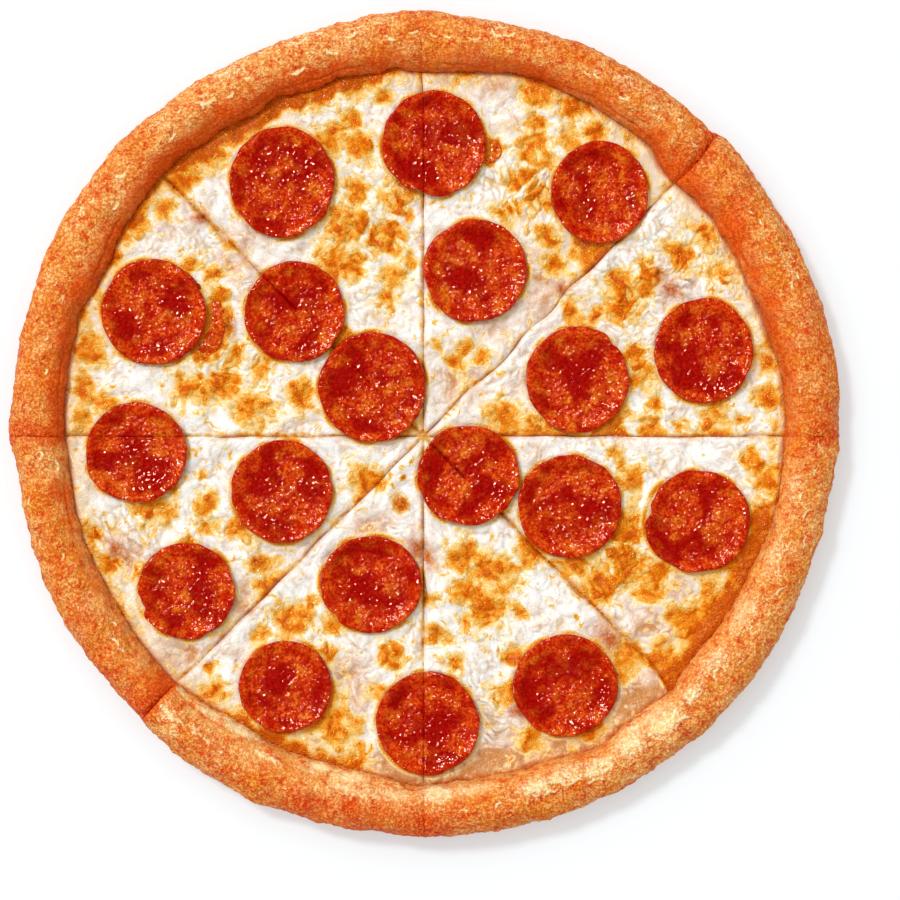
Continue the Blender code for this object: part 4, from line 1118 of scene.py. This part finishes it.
def turned_disc():
    """A flat round slice with a rounded edge, turned from half of its section."""
    bpy.ops.object.select_all(action="DESELECT")
    bpy.ops.mesh.primitive_plane_add(size=MM, location=(0, 0, 0))
    disc = bpy.context.object
    edit_only(disc)
    bpy.ops.mesh.select_all(action="SELECT")
    bpy.ops.mesh.merge(type="CENTER")
    bpy.ops.transform.translate(value=(0, 0, MM))
    stops = [(FLAT_SHARE * ring / FLAT_RINGS, 1) for ring in range(1, FLAT_RINGS + 1)]
    for ring in range(1, EDGE_RINGS + 1):
        turn = math.pi * ring / EDGE_RINGS
        stops.append((FLAT_SHARE + (1 - FLAT_SHARE) * math.sin(turn), 0.5 + 0.5 * math.cos(turn)))
    stops += [(FLAT_SHARE * (1 - ring / UNDER_RINGS), 0) for ring in range(1, UNDER_RINGS + 1)]
    at = (0, 1)
    for stop in stops:
        move = ((stop[0] - at[0]) * PATTERN_RADIUS * MM, 0, (stop[1] - at[1]) * MM)
        bpy.ops.mesh.extrude_vertices_move(TRANSFORM_OT_translate={"value": move})
        at = stop
    bpy.ops.mesh.select_all(action="SELECT")
    bpy.ops.mesh.spin(steps=TURN_STEPS, angle=math.tau, center=(0, 0, 0), axis=(0, 0, 1))
    bpy.ops.mesh.select_all(action="SELECT")
    bpy.ops.mesh.remove_doubles(threshold=1e-6)
    bpy.ops.mesh.normals_make_consistent(inside=False)
    bpy.ops.object.mode_set(mode="OBJECT")
    return disc


def shape_disc(piece, disc, seat=PEPPERONI_SEAT, cup_depth=PEPPERONI_CUP, oily=0.0):
    """Gives a slice of pepperoni its outline, cup and wrinkles, and marks its fatty parts and its edge."""
    name, middle_x, middle_y, _, _ = disc
    number = int(name.split("_")[1])
    x, y, level = points_of(piece.data)
    share = np.hypot(x, y) / PATTERN_RADIUS
    bearing = np.round(np.arctan2(y, x), 4)
    edge = outline_radius(disc, bearing) + 0.12 * waver(bearing * 18, 0 * bearing, 2.2, 100 + number)
    edge += 0.3 * swell(bearing, 22, 4.1 * number)
    for at, depth, half_angle in NOTCHES.get(name, ()):
        off = (np.degrees(bearing) - at + 180) % 360 - 180
        edge -= depth * fade(off, half_angle)
    x, y = middle_x + edge * share * np.cos(bearing), middle_y + edge * share * np.sin(bearing)

    own_cup = cup_depth * (1 + 0.35 * swell(bearing, 9, 2.9 * number))
    cup = own_cup * smooth(0.66, 0.99, share) + 0.35 * share**2
    tilt_x, tilt_y = np.random.default_rng(number).uniform(-0.012, 0.012, 2)
    folds = 0.42 * waver(x, y, 13, 200 + number) + 0.26 * waver(x, y, 5.5, 230 + number)
    blotch = waver(x, y, 12, 350 + number) + 0.35 * waver(x, y, 4, 380 + number)
    grainy = np.clip(smooth(-0.35, 0.25, blotch) + 0.4 * smooth(0.75, 0.95, share), 0, 1)
    wrinkles = 0.15 * waver(x, y, 2.9, 260 + number) + 0.11 * waver(x, y, 1.5, 290 + number)
    wrinkles *= 0.3 + 0.7 * grainy
    crease = np.abs(waver(x, y, 6.5, 320 + number))
    top = folds + wrinkles - 0.16 * (1 - smooth(0, 0.09, crease))
    bottom = seat + cup + 0.6 * folds * smooth(0.5, 1, share)
    height = bottom + level * (PEPPERONI_THICKNESS - 0.4 * smooth(0.85, 1, share)) + top * level * 0.8
    height += tilt_x * (x - middle_x) + tilt_y * (y - middle_y)
    put_points(piece.data, x, y, height)

    strayed_x, strayed_y = x + 1.6 * waver(x, y, 3.2, 440), y + 1.6 * waver(x, y, 3.2, 441)
    away_x, away_y, chance, _ = nearest_spot(strayed_x, strayed_y, 8.0, 410 + number)
    spots = np.exp(-((away_x**2 + 1.8 * away_y**2) / (1.2 + 3.0 * chance) ** 2)) * (chance < 0.65)
    greasy = smooth(0.0, 0.9, spots + 0.3 * waver(x, y, 1.6, 470 + number)) * (1 - smooth(0.8, 0.95, share))
    soft_fat = 0.55 * grainy * smooth(0.0, 0.9, waver(x, y, 5, 471 + number))
    greasy = np.maximum(0.8 * greasy * (0.2 + 0.8 * grainy), soft_fat)
    put_mask(piece.data, "grainy", grainy)
    put_mask(piece.data, "cupped", smooth(0.70, 0.78, share) * (1 - smooth(0.93, 0.98, share)))
    put_mask(piece.data, "greasy", greasy + oily * (1 + waver(x, y, 3, 500)))
    put_mask(piece.data, "edge", smooth(0.975, 1.0, share) * (1 - 0.6 * smooth(0.6, 0.9, level)))


def score(piece, bearing, depth, half_width, near=-PIZZA_RADIUS, far=PIZZA_RADIUS):
    """Presses a groove into a slice of pepperoni along the cut of a bearing, from near to far along it."""
    along = Vector((math.cos(bearing), math.sin(bearing), 0))
    side = Vector((-along.y, along.x, 0))
    cut_point = Vector((CUT_X, CUT_Y, 0)) * MM
    edit_only(piece)
    for offset in (-2, -1, 0, 1, 2):
        on_line = cut_point + side * offset * half_width * MM
        bpy.ops.mesh.select_all(action="SELECT")
        bpy.ops.mesh.bisect(plane_co=on_line, plane_no=side, threshold=1e-7)
    bpy.ops.object.mode_set(mode="OBJECT")
    x, y, z = points_of(piece.data)
    off = (x - CUT_X) * side.x + (y - CUT_Y) * side.y
    run = (x - CUT_X) * along.x + (y - CUT_Y) * along.y
    groove = fade(off, half_width) * smooth(near - 1, near + 0.5, run)
    groove *= 1 - smooth(far - 0.5, far + 1, run)
    on_top = smooth(0.0, 0.6, z - PEPPERONI_SEAT)
    put_points(piece.data, x, y, z - depth * groove * on_top)


def keep_side(piece, bearing, left):
    """Cuts a slice of pepperoni through along the cut of a bearing, and keeps what lies to one side."""
    turned = bearing + math.pi / 2
    outward = Vector((math.cos(turned), math.sin(turned), 0)) * (-1 if left else 1)
    cut_point = Vector((CUT_X, CUT_Y, 0)) * MM - outward * CUT_GAP / 2 * MM
    edit_only(piece)
    bpy.ops.mesh.select_all(action="SELECT")
    bpy.ops.mesh.bisect(plane_co=cut_point, plane_no=outward, clear_outer=True, use_fill=True, threshold=1e-7)
    bpy.ops.mesh.select_all(action="SELECT")
    bpy.ops.mesh.normals_make_consistent(inside=False)
    bpy.ops.object.mode_set(mode="OBJECT")


def pepperoni_material():
    """Cured sausage: smooth dark red and grainy orange red, with spots of fat and an oily shine."""
    made, tree, shader = new_material("cured_pepperoni", specular=1.0)
    shader.inputs["Specular Tint"].default_value = (1.0, 0.64, 0.46, 1)
    grain = node(tree, "ShaderNodeGroup", {"Size": 1000.0, "Fine Share": 0.3, "Round": 0.25}, node_tree=GRAIN)
    oil = node(tree, "ShaderNodeGroup", {"Wetness": 1.3, "Ripple": 620.0}, node_tree=OIL)
    tint, grainy = grain.outputs["Tint"], mask(tree, "grainy")
    lean = blend(tree, tint, (0.29, 0.0003, 0.0001), (0.47, 0.003, 0.0003))
    warmth = ramp(tree, mottle(tree, 260, 3.0), (0.40, 0), (0.60, 1))
    dull = blend(tree, tint, (0.41, 0.001, 0.0001), (0.60, 0.018, 0.0003))
    meat = blend(tree, warmth, dull, blend(tree, tint, (0.52, 0.008, 0.0001), (0.86, 0.115, 0.006)))
    fat = blend(tree, tint, (0.62, 0.06, 0.002), (0.90, 0.27, 0.016))
    greasy = blend(tree, mask(tree, "greasy"), blend(tree, grainy, lean, meat), fat)
    edged = blend(tree, mask(tree, "edge"), greasy, (0.38, 0.008, 0.001))
    tree.links.new(edged, shader.inputs["Base Color"])
    tree.links.new(oil.outputs["Roughness"], shader.inputs["Roughness"])
    uneven = ramp(tree, grainy, (0, 0.15), (1, 1))
    fine = bump(tree, blend(tree, uneven, LEVEL, grain.outputs["Height"]), 0.45, 0.6)
    waves = ramp(tree, grainy, (0, 0.5), (1, 1))
    waves = blend(tree, mask(tree, "cupped"), waves, (0.4, 0.4, 0.4))
    ripples = blend(tree, waves, LEVEL, oil.outputs["Height"])
    tree.links.new(bump(tree, ripples, 1.0, 1.3, fine), shader.inputs["Normal"])
    return made


SAUSAGE = pepperoni_material()
pattern = turned_disc()
for disc in PEPPERONI:
    name = disc[0]
    number = name.split("_")[1]
    whole = copy_of(pattern, f"sausage_{number}")
    shape_disc(whole, disc)
    if name in SCORED:
        score(whole, math.radians(SCORED[name][0]), SLIT_DEPTH, SLIT_HALF_WIDTH, *SCORED[name][1:])
    if name not in PARTED:
        finish_piece(whole, SAUSAGE, "pepperoni", name)
        continue
    bearing = math.radians(PARTED[name][0])
    score(whole, bearing, MARK_DEPTH, MARK_HALF_WIDTH)
    for side, (side_name, lift) in enumerate(PARTED[name][1:]):
        half = copy_of(whole, f"sausage_{number}_{side_name}")
        keep_side(half, bearing, side == 0)
        x, y, z = points_of(half.data)
        put_points(half.data, x, y, z + lift)
        finish_piece(half, SAUSAGE, "pepperoni", f"{name}_{side_name}")
    bpy.data.objects.remove(whole)
for disc, fatty in zip(TUCKED, TUCKED_FAT):
    tucked = copy_of(pattern, disc[0].replace("pepperoni", "sausage"))
    shape_disc(tucked, disc, PEPPERONI_SEAT - TUCKED_DROP, TUCKED_CUP, fatty)
    finish_piece(tucked, SAUSAGE, "pepperoni", disc[0])
bpy.data.objects.remove(pattern)


# The studio: a pale floor, a lamp and a softer one from the upper left, and even light all round.
# The soft lamp and most of the even light don't show in the gloss, so the fat glints from one side.
CAMERA_X, CAMERA_Y, CAMERA_HEIGHT = 9.3, -9.3, 1500.0
VIEW_ACROSS, VIEW_LEVEL = 327.3, 12.0
SENSOR = 36.0
FLOOR_SIZE, FLOOR_DROP = 6.0, 0.0001
FILL, FILL_IN_GLOSS = 0.60, 0.012
LAMP_RISE = math.radians(56)
# Name, strength and how many degrees wide it looks
LAMPS = (("lamp", 1.17, 10), ("soft_lamp", 0.96, 72))


def floor_material():
    """Plain matt white with a slight glow, painted light that keeps its shadows light."""
    made, _, shader = new_material("floor_white", specular=0.0, Emission_Strength=0.34)
    shader.inputs["Emission Color"].default_value = (0.92, 1, 1, 1)
    shader.inputs["Base Color"].default_value = (0.60, 0.62, 0.64, 1)
    shader.inputs["Roughness"].default_value = 0.9
    return made


bpy.ops.object.select_all(action="DESELECT")
bpy.ops.mesh.primitive_plane_add(size=FLOOR_SIZE, location=(0, 0, -FLOOR_DROP))
floor = bpy.context.object
floor.name = "floor"
floor.data.materials.append(floor_material())

world = bpy.data.worlds.new("studio")
world.use_nodes = True
world.node_tree.nodes["Background"].inputs["Color"].default_value = (1, 1, 1, 1)
seen_by = node(world.node_tree, "ShaderNodeLightPath").outputs["Is Glossy Ray"]
fill = node(world.node_tree, "ShaderNodeMapRange", {3: FILL, 4: FILL_IN_GLOSS}, {0: seen_by}).outputs[0]
world.node_tree.links.new(fill, world.node_tree.nodes["Background"].inputs["Strength"])
bpy.context.scene.world = world

for name, energy, angle in LAMPS:
    bpy.ops.object.light_add(type="SUN", rotation=(0, 0, 0))
    lamp = bpy.context.object
    lamp.name = name
    lamp.data.energy = energy
    lamp.data.angle = math.radians(angle)
    lamp.visible_glossy = name == "lamp"
    towards = Vector((math.cos(LIGHT_BEARING), math.sin(LIGHT_BEARING), math.tan(LAMP_RISE)))
    lamp.rotation_mode = "QUATERNION"
    lamp.rotation_quaternion = towards.to_track_quat("Z", "Y")

camera_data = bpy.data.cameras.new("camera")
camera = bpy.data.objects.new("camera", camera_data)
bpy.context.scene.collection.objects.link(camera)
camera.location = Vector((CAMERA_X, CAMERA_Y, CAMERA_HEIGHT)) * MM
camera_data.sensor_width = SENSOR
camera_data.lens = SENSOR * (CAMERA_HEIGHT - VIEW_LEVEL) / VIEW_ACROSS
camera_data.clip_end = 10
bpy.context.scene.camera = camera
bpy.context.scene.view_settings.view_transform = "Standard"
